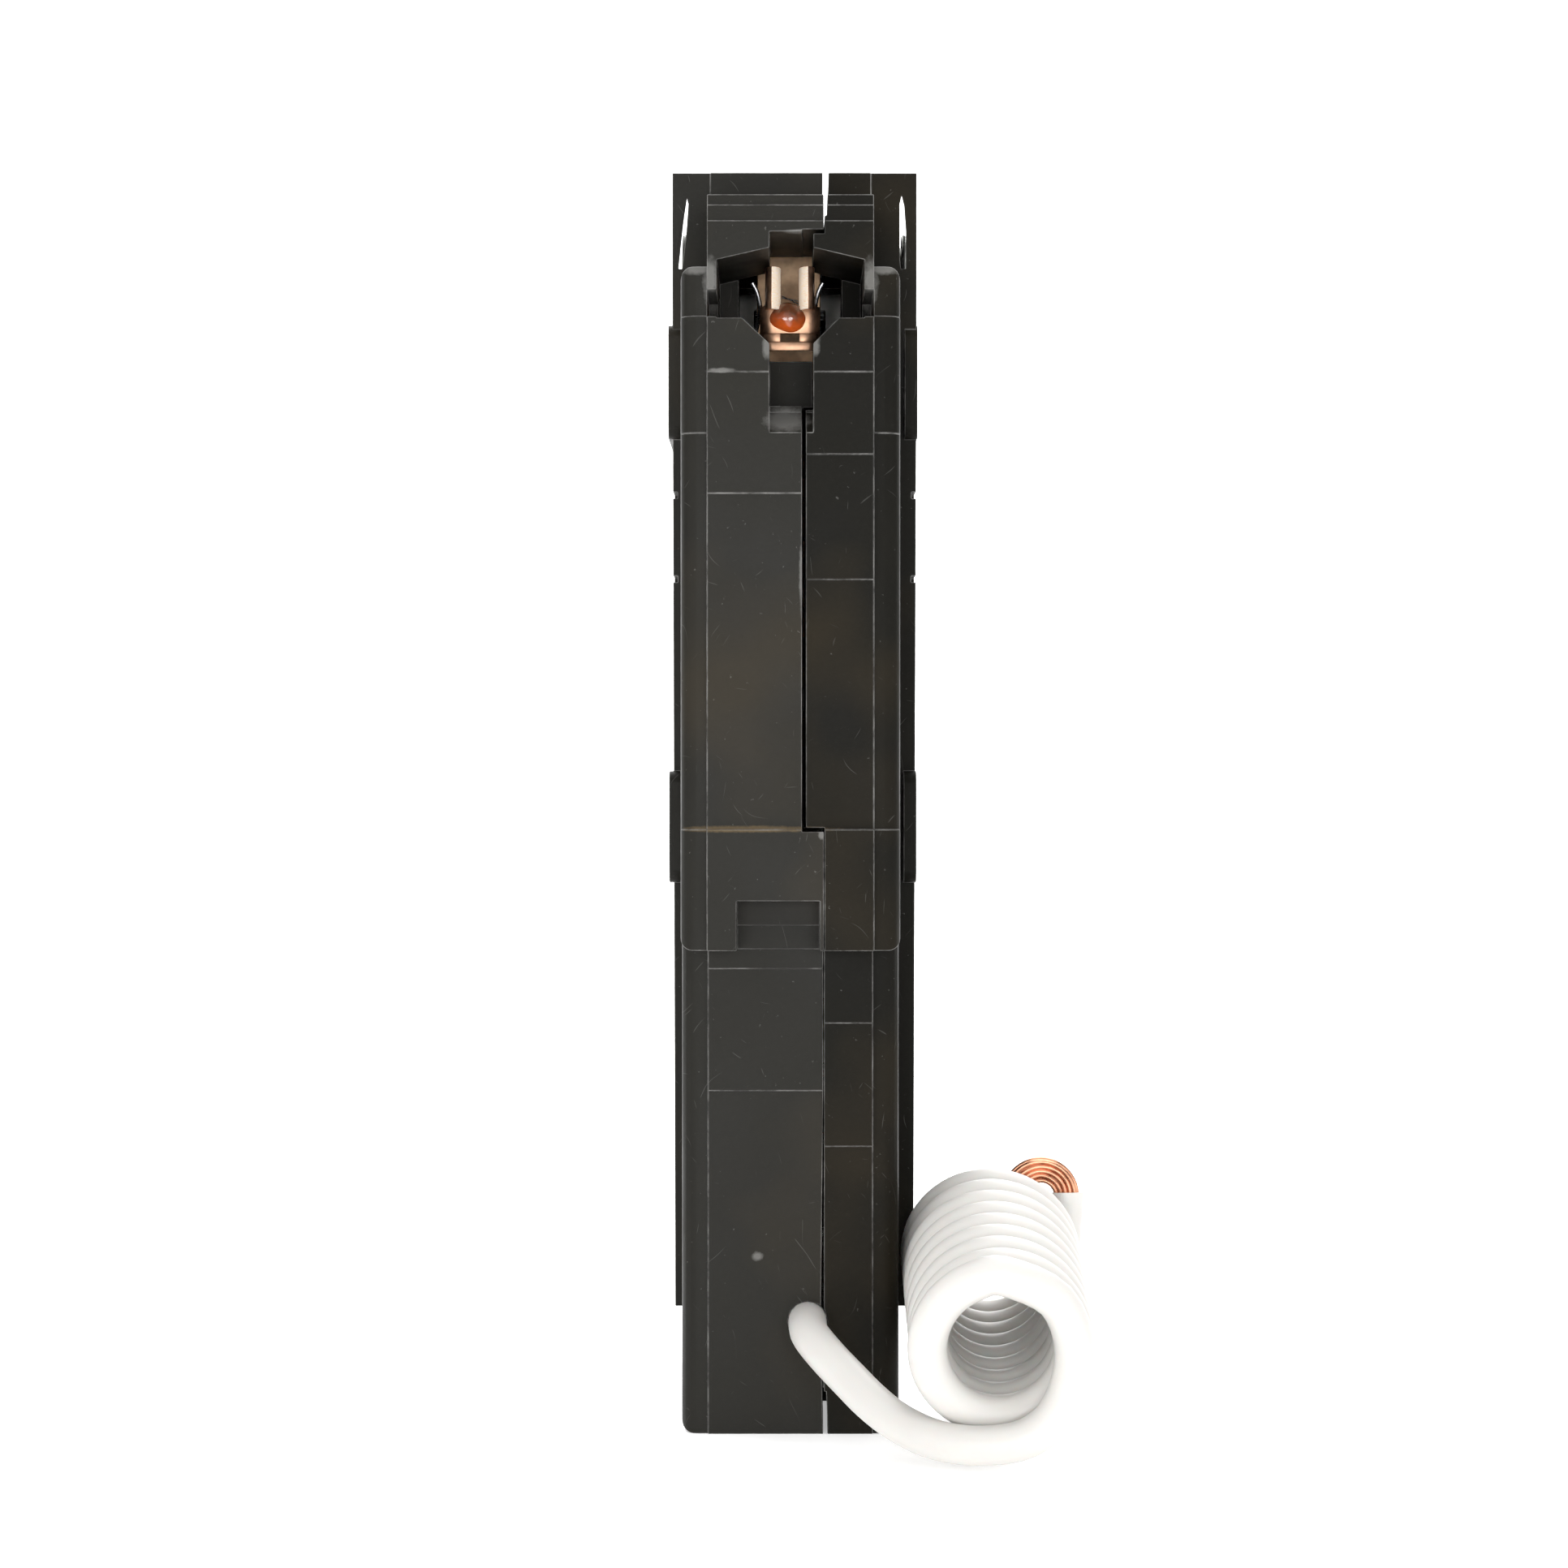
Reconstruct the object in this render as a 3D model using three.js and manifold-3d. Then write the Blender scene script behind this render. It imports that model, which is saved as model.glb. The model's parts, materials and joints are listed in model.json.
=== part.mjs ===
// A single-pole plug-on GFCI breaker with a coiled neutral pigtail, in millimetres, +Z up.
// It stands on its load end. The rear face with the stab jaws looks towards -Y, the handle towards +Y.
// Depths are counted forward from the rear-most face, and turned into Y by the function y().
import * as THREE from "three";
import { mergeVertices } from "three/addons/utils/BufferGeometryUtils.js";
import Module from "manifold-3d";

const wasm = await Module();
wasm.setup();

// ---------- driving dimensions ----------
const DEPTH = 74;            // rear-most face to handle tip
const HEIGHT = 95.6;
const HALF_NARROW = 8.2;     // rear body and escutcheon
const WIDE_LEFT = -9;
const WIDE_RIGHT = 9.65;
const BOSS_LEFT = -9.325;    // over both bosses the case fills one 3/4 inch pole pitch
const BOSS_RIGHT = 9.725;
const PANEL_HALF = 6.2;      // half width of the raised panel down the rear face
const RAIL_DROP = 0.6;       // how far the rounded rails beside it lie below it
const WALL = 1.6;
const GAP = 0.3;             // clearance between pieces that touch
const HALF_CAVITY = 6.7;
const JAW_FACE = 0;          // depth of the jaw block and the hook foot
const MID_FACE = 0.2;
const LOW_FACE = 4.2;
const FOOT_Z = [36.6, 45.6];
const JAW_BLOCK_Z = [75.1, 87.5];
const SHOULDER_Z = [17, 36, 76, 90];
const SHOULDER_D = 56;
const ESCUTCHEON_D = 63;
const LOW_STEP_D = 42;
const WIDE_REAR = [8, 16];   // depth of the wide part's rear edge, at its top and its foot
const VIEW_FAN = 1 / 284;    // how fast the corner slits widen towards the front, per mm of depth
const SLOT_X = [-1.57, 1.7]; // stab slot
const SLOT_Z = [77.3, 90];
const PARTING_END_X = 2.5;   // parting plane at both ends of the case
const PARTING_MID_X = 1.0;   // and along the middle of the rear face
const TAB_DEPTH = 14;        // how deep the jogged parting line goes
const PIVOT = [50, 57];      // handle pivot, depth and height
const HANDLE_OFF = -25;      // degrees from straight forward
const HANDLE_REACH = 25.5;
const ARM_PIVOT = [41, 57];
const ARM_OFF = 5.3;         // degrees, leaning to the rear
const WIRE_R = 1.45;
const COIL_R = 5.2;          // radius of the middle of the turns
const COIL_FRONT = new THREE.Vector3(15.1, -10.2, 9.0);  // x, depth, z at the coil's near end
const COIL_TILT = 9.6;       // degrees, rising away from the viewer
const COIL_YAW = 0.9;        // degrees, swinging away from the case
const COIL_LENGTH = 25.5;
const EXIT = [1.3, 8.5];     // x and z of the pigtail's hole

const COLOURS = {
  case: [0x3b3834, 0.55, 0], insert: [0x2d2b28, 0.6, 0], copper: [0xb8693c, 0.35, 1],
  steel: [0x9a9a98, 0.4, 1], zinc: [0xb9bab5, 0.35, 1], brass: [0xb89a54, 0.35, 1],
  silver: [0xcfcfcb, 0.3, 1], board: [0x2f5a38, 0.5, 0], epoxy: [0x1c1c1d, 0.5, 0],
  ferrite: [0x4a4a4c, 0.7, 0], winding: [0x9c4a22, 0.35, 1], white: [0xf0efec, 0.45, 0],
  fibre: [0x8a6f52, 0.8, 0], red: [0xb02a22, 0.5, 0], clear: [0xdfe6e8, 0.1, 0],
  button: [0xe4dfd2, 0.45, 0], blue: [0x2f4f86, 0.4, 0],
};

const model = new THREE.Group();
const y = (depth) => depth - DEPTH / 2;

// ---------- helpers ----------
function paint(name) {
  const [color, roughness, metalness] = COLOURS[name];
  return new THREE.MeshStandardMaterial({ color, roughness, metalness });
}

function solid(geometry) {
  geometry.deleteAttribute("normal");
  geometry.deleteAttribute("uv");
  const merged = mergeVertices(geometry, 1e-4);
  const vertProperties = new Float32Array(merged.attributes.position.array);
  const triVerts = new Uint32Array(merged.index.array);
  return new wasm.Manifold(new wasm.Mesh({ numProp: 3, vertProperties, triVerts }));
}

function geometryOf(body) {
  const mesh = body.getMesh();
  const geometry = new THREE.BufferGeometry();
  geometry.setAttribute("position", new THREE.BufferAttribute(new Float32Array(mesh.vertProperties), 3));
  geometry.setIndex(new THREE.BufferAttribute(new Uint32Array(mesh.triVerts), 1));
  return geometry;
}

const union = (parts) => parts.reduce((sum, part) => sum.add(part));
const without = (body, parts) => parts.reduce((rest, part) => rest.subtract(part), body);

function add(name, shape, material, parent = model) {
  const geometry = shape.getMesh ? geometryOf(shape) : shape;
  const mesh = new THREE.Mesh(geometry, paint(material));
  mesh.name = name;
  parent.add(mesh);
  return mesh;
}

// A box from x, depth and z ranges.
function box([x0, x1], [d0, d1], [z0, z1]) {
  const geometry = new THREE.BoxGeometry(x1 - x0, d1 - d0, z1 - z0);
  return geometry.translate((x0 + x1) / 2, y((d0 + d1) / 2), (z0 + z1) / 2);
}
const block = (...ranges) => solid(box(...ranges));

const BASES = {
  side: [[0, 1, 0], [0, 0, 1], [1, 0, 0]],   // outline in depth and z, extruded along x
  face: [[1, 0, 0], [0, 0, 1], [0, -1, 0]],  // outline in x and z, extruded to the rear
  plan: [[1, 0, 0], [0, 1, 0], [0, 0, 1]],   // outline in x and depth, extruded upwards
};

function extrude(shape, view, length, origin, curveSegments = 5) {
  const geometry = new THREE.ExtrudeGeometry(shape, { depth: length, bevelEnabled: false, curveSegments });
  const [u, v, w] = BASES[view].map((axis) => new THREE.Vector3(...axis));
  const turn = new THREE.Matrix4().makeBasis(u, v, w).setPosition(new THREE.Vector3(...origin));
  return geometry.applyMatrix4(turn);
}

const outline = (points) => new THREE.Shape(points.map(([u, v]) => new THREE.Vector2(u, v)));
const sideSlab = (points, x0, x1) => extrude(outline(points), "side", x1 - x0, [x0, y(0), 0]);
const faceSlab = (points, d0, d1) => extrude(outline(points), "face", d1 - d0, [0, y(d1), 0]);
const planSlab = (points, z0, z1) => extrude(outline(points), "plan", z1 - z0, [0, y(0), z0]);

function roundedFrame([x0, x1], [z0, z1], r) {
  const shape = new THREE.Shape();
  shape.absarc(x1 - r, z1 - r, r, 0, Math.PI / 2);
  shape.absarc(x0 + r, z1 - r, r, Math.PI / 2, Math.PI);
  shape.absarc(x0 + r, z0 + r, r, Math.PI, 1.5 * Math.PI);
  shape.absarc(x1 - r, z0 + r, r, 1.5 * Math.PI, 2 * Math.PI);
  return shape;
}
const roundedBar = (xs, zs, r, d0, d1) => extrude(roundedFrame(xs, zs, r), "face", d1 - d0, [0, y(d1), 0], 3);

// A round bar along one axis, from its two ends.
function rod(axis, centre, r, from, to, sides = 12) {
  const geometry = new THREE.CylinderGeometry(r, r, to - from, sides);
  const middle = (from + to) / 2;
  if (axis === "x") return geometry.rotateZ(Math.PI / 2).translate(middle, y(centre[0]), centre[1]);
  if (axis === "y") return geometry.translate(centre[0], y(middle), centre[1]);
  return geometry.rotateX(Math.PI / 2).translate(centre[0], y(centre[1]), middle);
}

function tube(points, r, steps, sides = 8) {
  const curve = new THREE.CatmullRomCurve3(points.map(([x, d, z]) => new THREE.Vector3(x, y(d), z)));
  const section = new THREE.Shape();
  for (let i = 0; i < sides; i += 1) {
    const angle = (2 * Math.PI * i) / sides;
    const corner = [r * Math.cos(angle), r * Math.sin(angle)];
    if (i === 0) section.moveTo(...corner);
    else section.lineTo(...corner);
  }
  return new THREE.ExtrudeGeometry(section, { steps, extrudePath: curve, bevelEnabled: false });
}

// A coil spring along Y or Z, from its middle line.
function spring(axis, centre, r, wire, from, to, turns) {
  const points = [];
  const perTurn = 8;
  for (let i = 0; i <= turns * perTurn; i += 1) {
    const angle = (2 * Math.PI * i) / perTurn;
    const along = from + ((to - from) * i) / (turns * perTurn);
    const across = [r * Math.cos(angle), r * Math.sin(angle)];
    if (axis === "y") points.push([centre[0] + across[0], along, centre[1] + across[1]]);
    else points.push([centre[0] + across[0], centre[1] + across[1], along]);
  }
  return tube(points, wire, turns * perTurn, 5);
}

function ring(centre, inner, outer, z0, z1, sides = 16) {
  const profile = [[inner, z0], [outer, z0], [outer, z1], [inner, z1], [inner, z0]];
  const points = profile.map(([r, z]) => new THREE.Vector2(r, z));
  const geometry = new THREE.LatheGeometry(points, sides);
  return geometry.rotateX(Math.PI / 2).translate(centre[0], y(centre[1]), 0);
}

// ---------- case ----------
const RIVETS = [[26, 91.2], [50.5, 83], [50.5, 33.6], [9.2, 4]];
const RIVET_R = 1.2;
const RIVET_HEAD_R = 2.2;

// One stretch of the narrow body's rear: a flat panel between two rounded rails.
function rearPad([z0, z1], face) {
  const back = 20;
  const rail = [[PANEL_HALF, 0], [6.9, 0], [7.45, 0.12], [7.85, 0.4], [8.1, 0.8], [HALF_NARROW, 1.3]]
    .map(([x, fall]) => [x, face + RAIL_DROP + fall]);
  return solid(planSlab([
    [-HALF_NARROW, back], ...[...rail].reverse().map(([x, d]) => [-x, d]), [-PANEL_HALF, face],
    [PANEL_HALF, face], ...rail, [HALF_NARROW, back],
  ], z0, z1));
}

function narrowBody() {
  const roundEnds = (zs, d0) => solid(roundedBar([-HALF_NARROW, HALF_NARROW], zs, 0.9, d0, ESCUTCHEON_D));
  const forward = solid(sideSlab([
    [18, 0], [LOW_STEP_D, 0], [LOW_STEP_D, SHOULDER_Z[0]], [SHOULDER_D, SHOULDER_Z[0]],
    [SHOULDER_D, SHOULDER_Z[1]], [ESCUTCHEON_D, SHOULDER_Z[1]], [ESCUTCHEON_D, SHOULDER_Z[2]],
    [SHOULDER_D, SHOULDER_Z[2]], [SHOULDER_D, JAW_BLOCK_Z[1]], [18, JAW_BLOCK_Z[1]],
  ], -HALF_NARROW, HALF_NARROW));
  const body = union([
    rearPad([0, FOOT_Z[0] + 1], LOW_FACE),
    rearPad([FOOT_Z[1] - 1, JAW_BLOCK_Z[0] + 1], MID_FACE),
    forward,
  ]).intersect(roundEnds([0, HEIGHT], -1));
  const foot = rearPad(FOOT_Z, JAW_FACE).intersect(roundEnds([FOOT_Z[0], FOOT_Z[1] + 2], -1));
  const jawBlock = union([
    rearPad([JAW_BLOCK_Z[0], 83.8], JAW_FACE), rearPad([83.8, JAW_BLOCK_Z[1]], JAW_FACE + 0.2),
  ]).intersect(roundEnds([JAW_BLOCK_Z[0] - 2, JAW_BLOCK_Z[1]], -1));
  return union([body, foot, jawBlock]);
}

function wideBody() {
  const slab = solid(sideSlab([
    [WIDE_REAR[1], 8.1], [LOW_STEP_D, 8.1], [LOW_STEP_D, SHOULDER_Z[0]], [SHOULDER_D, SHOULDER_Z[0]],
    [SHOULDER_D, SHOULDER_Z[3]], [50, HEIGHT], [WIDE_REAR[0], HEIGHT], [WIDE_REAR[0], 88],
  ], WIDE_LEFT, WIDE_RIGHT));
  const bosses = [[[8.2, 25], [75.4, 84.1]], [[10.8, 25], [41.4, 50]]].flatMap(([depths, zs]) =>
    [BOSS_LEFT, BOSS_RIGHT - 1].map((x) => solid(extrude(roundedFrame(depths, zs, 1), "side", 1, [x, y(0), 0], 3))));
  return union([slab, ...bosses]);
}

// The panel's head, in three low steps, and the low rib that carries its sides on to the top.
function nose() {
  const head = solid(sideSlab([
    [0, 83.8], [0, 90.8], [0.2, 90.8], [0.2, 92], [0.4, 92], [0.4, 92.8], [10, 92.8], [10, 83.8],
  ], -PANEL_HALF, PANEL_HALF));
  return head.add(block([-6.1, 6.15], [WIDE_REAR[0] - 0.15, 10], [92, HEIGHT]));
}

function mouldSteps() {
  const step = 0.2;
  const left = [-PANEL_HALF, PARTING_MID_X];
  const right = [PARTING_MID_X, PANEL_HALF];
  const lowLeft = [-PANEL_HALF, PARTING_END_X];
  const lowRight = [PARTING_END_X, PANEL_HALF];
  const cut = (xs, face, zs, n = 1) => block(xs, [face - 3, face + step * n], zs);
  return [
    cut([-PANEL_HALF, PANEL_HALF], JAW_FACE, [JAW_BLOCK_Z[0] - 0.5, 79.6]),
    cut(left, MID_FACE, [FOOT_Z[1], 70.6]),
    cut(right, MID_FACE, [64.2, 73.5]),
    cut(right, MID_FACE, [FOOT_Z[1], 64.2], 2),
    cut(lowLeft, LOW_FACE, [25.9, 35.1]),
    cut(lowLeft, LOW_FACE, [-1, 25.9], 2),
    cut(lowRight, LOW_FACE, [21.7, 31]),
    cut(lowRight, LOW_FACE, [-1, 21.7], 2),
  ];
}

function jawOpenings() {
  const gable = solid(faceSlab([
    [-5.5, 83.6], [-3.6, 83.6], [SLOT_X[0], 81.7], [SLOT_X[1], 81.7], [3.6, 83.6], [5.5, 83.6],
    [5.5, 87.9], [SLOT_X[1], 88.8], [SLOT_X[0], 88.8], [-5.5, 87.9],
  ], -1, TAB_DEPTH));
  const ramp = solid(sideSlab([[-1, 75.1], [0.2, 75.1], [2.6, 76.8], [2.6, 77.4], [-1, 77.4]], ...SLOT_X));
  return [
    gable,
    ramp,
    block([-PANEL_HALF, PANEL_HALF], [-1, 9], [83.7, 85.7]),
    block(SLOT_X, [-1, 6], SLOT_Z),
    block(SLOT_X, [-1, 14.4], [81, SLOT_Z[1]]),
    block([-4, 4], [6, 20.4], [81, 88]),
    block([-4, 4], [8, 20.4], [78.6, 88]),
    block([-4, 4], [TAB_DEPTH, 20.4], [78.6, 91]),
  ];
}

function cavity() {
  const narrow = solid(sideSlab([
    [LOW_FACE + WALL, WALL], [LOW_STEP_D - WALL, WALL], [LOW_STEP_D - WALL, SHOULDER_Z[0] + WALL],
    [SHOULDER_D - WALL, SHOULDER_Z[0] + WALL], [SHOULDER_D - WALL, SHOULDER_Z[1] + WALL],
    [ESCUTCHEON_D - WALL, SHOULDER_Z[1] + WALL], [ESCUTCHEON_D - WALL, SHOULDER_Z[2] - WALL],
    [SHOULDER_D - WALL, SHOULDER_Z[2] - WALL], [SHOULDER_D - WALL, 89.4], [49.4, 93.7], [20, 93.7],
    [20, 75.4], [3.6, 73.4], [3.6, 48], [LOW_FACE + WALL, 46],
  ], -HALF_CAVITY + 0.1, HALF_CAVITY));
  return union([narrow, block([-7.6, 7.9], [17.5, 54], [38, 86])]);
}

function rivetPosts(r) {
  return RIVETS.map((centre) => solid(rod("x", centre, r, -8.1, 8.1, 12)));
}

const rivetFaces = ([, z]) => (z < 8 ? [-HALF_NARROW, HALF_NARROW] : [WIDE_LEFT, WIDE_RIGHT]);

function rivetBores() {
  const bores = RIVETS.map((centre) => {
    const [left, right] = rivetFaces(centre);
    return union([
      solid(rod("x", centre, RIVET_R + GAP, -12, 12, 12)),
      solid(rod("x", centre, RIVET_HEAD_R + GAP, left - 1, left + 0.9, 12)),
      solid(rod("x", centre, RIVET_HEAD_R + GAP, right - 0.9, right + 1, 12)),
    ]);
  });
  return bores;
}

function frontOpenings() {
  const front = [ESCUTCHEON_D - WALL - 0.5, ESCUTCHEON_D + 1];
  return [
    block([-4.2, 4.2], front, [45.7, 68.3]),
    block([-3.8, 3.8], front, [38.1, 44.6]),
    block([-2.9, 2.9], front, [70.5, 74.3]),
  ];
}

const TERMINALS = [
  { name: "neutral", lug: [26, 36.5], base: 3, floor: 0, front: LOW_STEP_D, clamp: 31.8 },
  { name: "load", lug: [42, 52.5], base: 19.5, floor: SHOULDER_Z[0], front: SHOULDER_D, clamp: 47.8 },
];
const LUG_HEIGHT = 10;

function terminalOpenings() {
  return TERMINALS.flatMap(({ lug, base, floor, front }) => [
    block([-3.4, 3.4], [lug[0] + 1.4, lug[0] + 8.5], [floor - 1, floor + WALL + 0.5]),
    solid(rod("y", [0, base + LUG_HEIGHT / 2], 3.3, front - WALL - 0.5, front + 1, 16)),
  ]);
}

const hull = (points) => wasm.Manifold.hull(points.map(([x, depth, z]) => [x, y(depth), z]));

// A narrow slit at each upper corner, fanning out towards the front.
function ventSlits() {
  const centre = [-0.48, 49];
  const fanned = ([x, z], depth) => {
    const grow = 1 + depth * VIEW_FAN;
    return [centre[0] + (x - centre[0]) * grow, depth, centre[1] + (z - centre[1]) * grow];
  };
  const slits = [
    [[-8.3, 87.2], [-8.05, 87.2], [-7.72, 90], [-7.58, 92], [-7.68, 92.4], [-7.95, 90.5]],
    [[8.55, 87.2], [8.2, 87.2], [8.1, 88.2], [8.1, 92], [8.24, 92.6], [8.42, 91.9], [8.56, 90]],
  ];
  return slits.map((slit) => hull([-2, DEPTH].flatMap((depth) => slit.map((point) => fanned(point, depth)))));
}

// The mating faces open slightly towards the front at both ends of the case.
function draftWedges() {
  return [
    hull([[2.4, -1, 91.2], [2.66, -1, 91.2], [2.4, 45, 91.2], [2.9, 45, 91.2],
      [2.4, -1, 97], [2.86, -1, 97], [2.4, 45, 97], [3.36, 45, 97]]),
    hull([[2.4, -1, 3.2], [2.66, -1, 3.2], [2.4, 20, 3.2], [2.8, 20, 3.2],
      [2.4, -1, -1], [2.76, -1, -1], [2.4, 20, -1], [2.96, 20, -1]]),
  ];
}

function sidePanels() {
  const panel = (x, zs, depths) => solid(extrude(roundedFrame(depths, zs, 2), "side", 0.35, [x, y(0), 0], 3));
  const nicks = [[64.5, 65], [70.9, 71.4]].flatMap((zs) => [
    block([WIDE_LEFT - 1, WIDE_LEFT + 0.35], [6, 14], zs),
    block([WIDE_RIGHT - 0.35, WIDE_RIGHT + 1], [6, 14], zs),
  ]);
  return [
    panel(WIDE_LEFT, [52, 74], [20, 48]), panel(WIDE_RIGHT - 0.35, [52, 74], [20, 48]),
    panel(WIDE_LEFT, [14, 37], [20, 38]), panel(WIDE_RIGHT - 0.35, [14, 37], [20, 38]),
    ...nicks,
  ];
}

function hookSlot() {
  return [block([-4, 2.2], [-1, 3.4], [38.3, 40.3]), block([-4, 2.2], [-1, LOW_FACE - 0.4], [30, 38.4])];
}

function caseBody() {
  const outer = union([narrowBody(), wideBody(), nose()]);
  const hollow = without(cavity(), rivetPosts(2.6));
  const trunnion = solid(rod("x", PIVOT, 2.3, -8.4, 8.7, 12));
  const exitHole = solid(rod("y", EXIT, WIRE_R + GAP, 0, 8, 12));
  return without(outer, [
    hollow, trunnion, exitHole, ...mouldSteps(), ...jawOpenings(), ...rivetBores(), ...frontOpenings(),
    ...terminalOpenings(), ...ventSlits(), ...sidePanels(), ...hookSlot(),
  ]);
}

function partingMasks() {
  const half = GAP / 2;
  const all = 20;
  const base = union([
    block([-all, PARTING_END_X - half], [TAB_DEPTH, 80], [-1, 97]),
    block([-all, PARTING_END_X - half], [-2, 80], [-1, FOOT_Z[1] - half]),
    block([-all, PARTING_END_X - half], [-2, 80], [SLOT_Z[1] + half, 97]),
    block([-all, PARTING_MID_X - half], [-2, 80], [0, 97]),
    block([-all, SLOT_X[1] - half], [5.5, 8.5], [77.5, 81.2]),
  ]);
  const cover = without(union([
    block([PARTING_END_X + half, all], [-2, 80], [-1, 97]),
    block([SLOT_X[1], all], [-2, TAB_DEPTH - GAP], [76, SLOT_Z[1] - half]),
    block([PARTING_MID_X + half, all], [-2, TAB_DEPTH - GAP], [FOOT_Z[1] + half, 77]),
  ]), draftWedges());
  return { base, cover };
}

function addCase() {
  const whole = caseBody();
  const { base, cover } = partingMasks();
  add("base_shell", whole.intersect(base), "case");
  add("cover_shell", whole.intersect(cover), "case");
  RIVETS.forEach((centre, index) => {
    const [left, right] = rivetFaces(centre);
    const shank = solid(rod("x", centre, RIVET_R, left + 0.3, right - 0.3, 10));
    const heads = [[left + 0.2, left + 0.6], [right - 0.6, right - 0.2]];
    const rivet = union([shank, ...heads.map(([a, b]) => solid(rod("x", centre, RIVET_HEAD_R, a, b, 10)))]);
    add(`case_rivet_${index + 1}`, rivet, "zinc");
  });
}

// ---------- line end ----------
function addLineEnd() {
  add("line_terminal", sideSlab([
    [18.3, 79], [26.5, 79], [26.5, 88], [25.2, 88], [25.2, 80.3], [19.5, 80.3], [19.5, 90.7], [18.3, 90.7],
  ], -2.6, 2.4), "copper");
  const middle = -0.12;
  const jaw = (side) => [
    [middle + side * 1.55, 7.4], [middle + side * 0.62, 10.2], [middle + side * 0.62, 17.9],
    [middle + side * 1.62, 17.9], [middle + side * 1.62, 10.6], [middle + side * 2.5, 8],
  ];
  add("line_jaw_left", planSlab(jaw(-1).reverse(), 82.7, 87.7), "copper");
  add("line_jaw_right", planSlab(jaw(1), 82.7, 87.7), "copper");
  const leaf = (side) => [
    [middle + side * 3.5, 7.6], [middle + side * 2.1, 12.4], [middle + side * 2.6, 17.4],
    [middle + side * 3.0, 17.4], [middle + side * 2.5, 12.4], [middle + side * 3.8, 7.9],
  ];
  add("jaw_spring_left", planSlab(leaf(-1).reverse(), 84.2, 85.8), "steel");
  add("jaw_spring_right", planSlab(leaf(1), 84.2, 85.8), "steel");
  add("fixed_contact", rod("y", [0, 84], 2.1, 26.8, 28, 12), "silver");
}

// ---------- handle and contact mechanism ----------
// A group at a pivot, whose children are drawn in offsets from it.
function pivotGroup([depth, z], degrees) {
  const group = new THREE.Group();
  group.position.set(0, y(depth), z);
  group.rotation.x = THREE.MathUtils.degToRad(degrees);
  model.add(group);
  return group;
}
// Moves a shape drawn around depth 0 and z 0 so that the group carries it.
const local = (geometry) => geometry.translate(0, DEPTH / 2, 0);

function addHandle() {
  const shutter = new THREE.Shape();
  const span = THREE.MathUtils.degToRad(66);
  shutter.absarc(0, 0, 11, -span, span, false);
  shutter.absarc(0, 0, 9.2, span, -span, true);
  const lever = [[0, -3.6], [HANDLE_REACH - 1.5, -3.1], [HANDLE_REACH, -2.1], [HANDLE_REACH + 0.6, 0],
    [HANDLE_REACH, 2.1], [HANDLE_REACH - 1.5, 3.1], [0, 3.6]];
  const parts = [
    solid(local(extrude(shutter, "side", 7.8, [-3.9, y(0), 0], 10))),
    solid(local(sideSlab(lever, -3.6, 3.6))),
    solid(local(rod("x", [0, 0], 4.4, -3.9, 3.9, 16))),
    solid(local(rod("x", [0, 0], 1.9, -8.1, 8.3, 12))),
  ];
  const ribs = [14.5, 16.5, 18.5, 20.5].map((u) =>
    solid(local(box([-4, 4], [u, u + 0.7], [2.85, 5]))));
  const handle = without(union(parts), ribs).rotate([HANDLE_OFF, 0, 0]);
  const reach = handle.boundingBox().max[1] + PIVOT[0] - DEPTH;
  const placed = new THREE.Group();
  placed.position.set(0, y(PIVOT[0] - reach), PIVOT[1]);
  model.add(placed);
  add("toggle_handle", handle, "insert", placed);
}

function addContactArm() {
  const group = pivotGroup(ARM_PIVOT, ARM_OFF);
  const bar = solid(local(sideSlab([
    [-0.9, -1], [0.9, -1], [0.9, 26], [0.4, 28.6], [-0.9, 28.6],
  ], -1.8, 1.8)));
  const eye = solid(local(rod("x", [0, 0], 2.2, -1.8, 1.8, 12)));
  const bore = solid(local(rod("x", [0, 0], 1.1, -3, 3, 8)));
  add("contact_arm", without(union([bar, eye]), [bore]), "copper", group);
  add("moving_contact", local(rod("y", [0, 26.6], 1.9, -2.4, -1.2, 12)), "silver", group);
}

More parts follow.
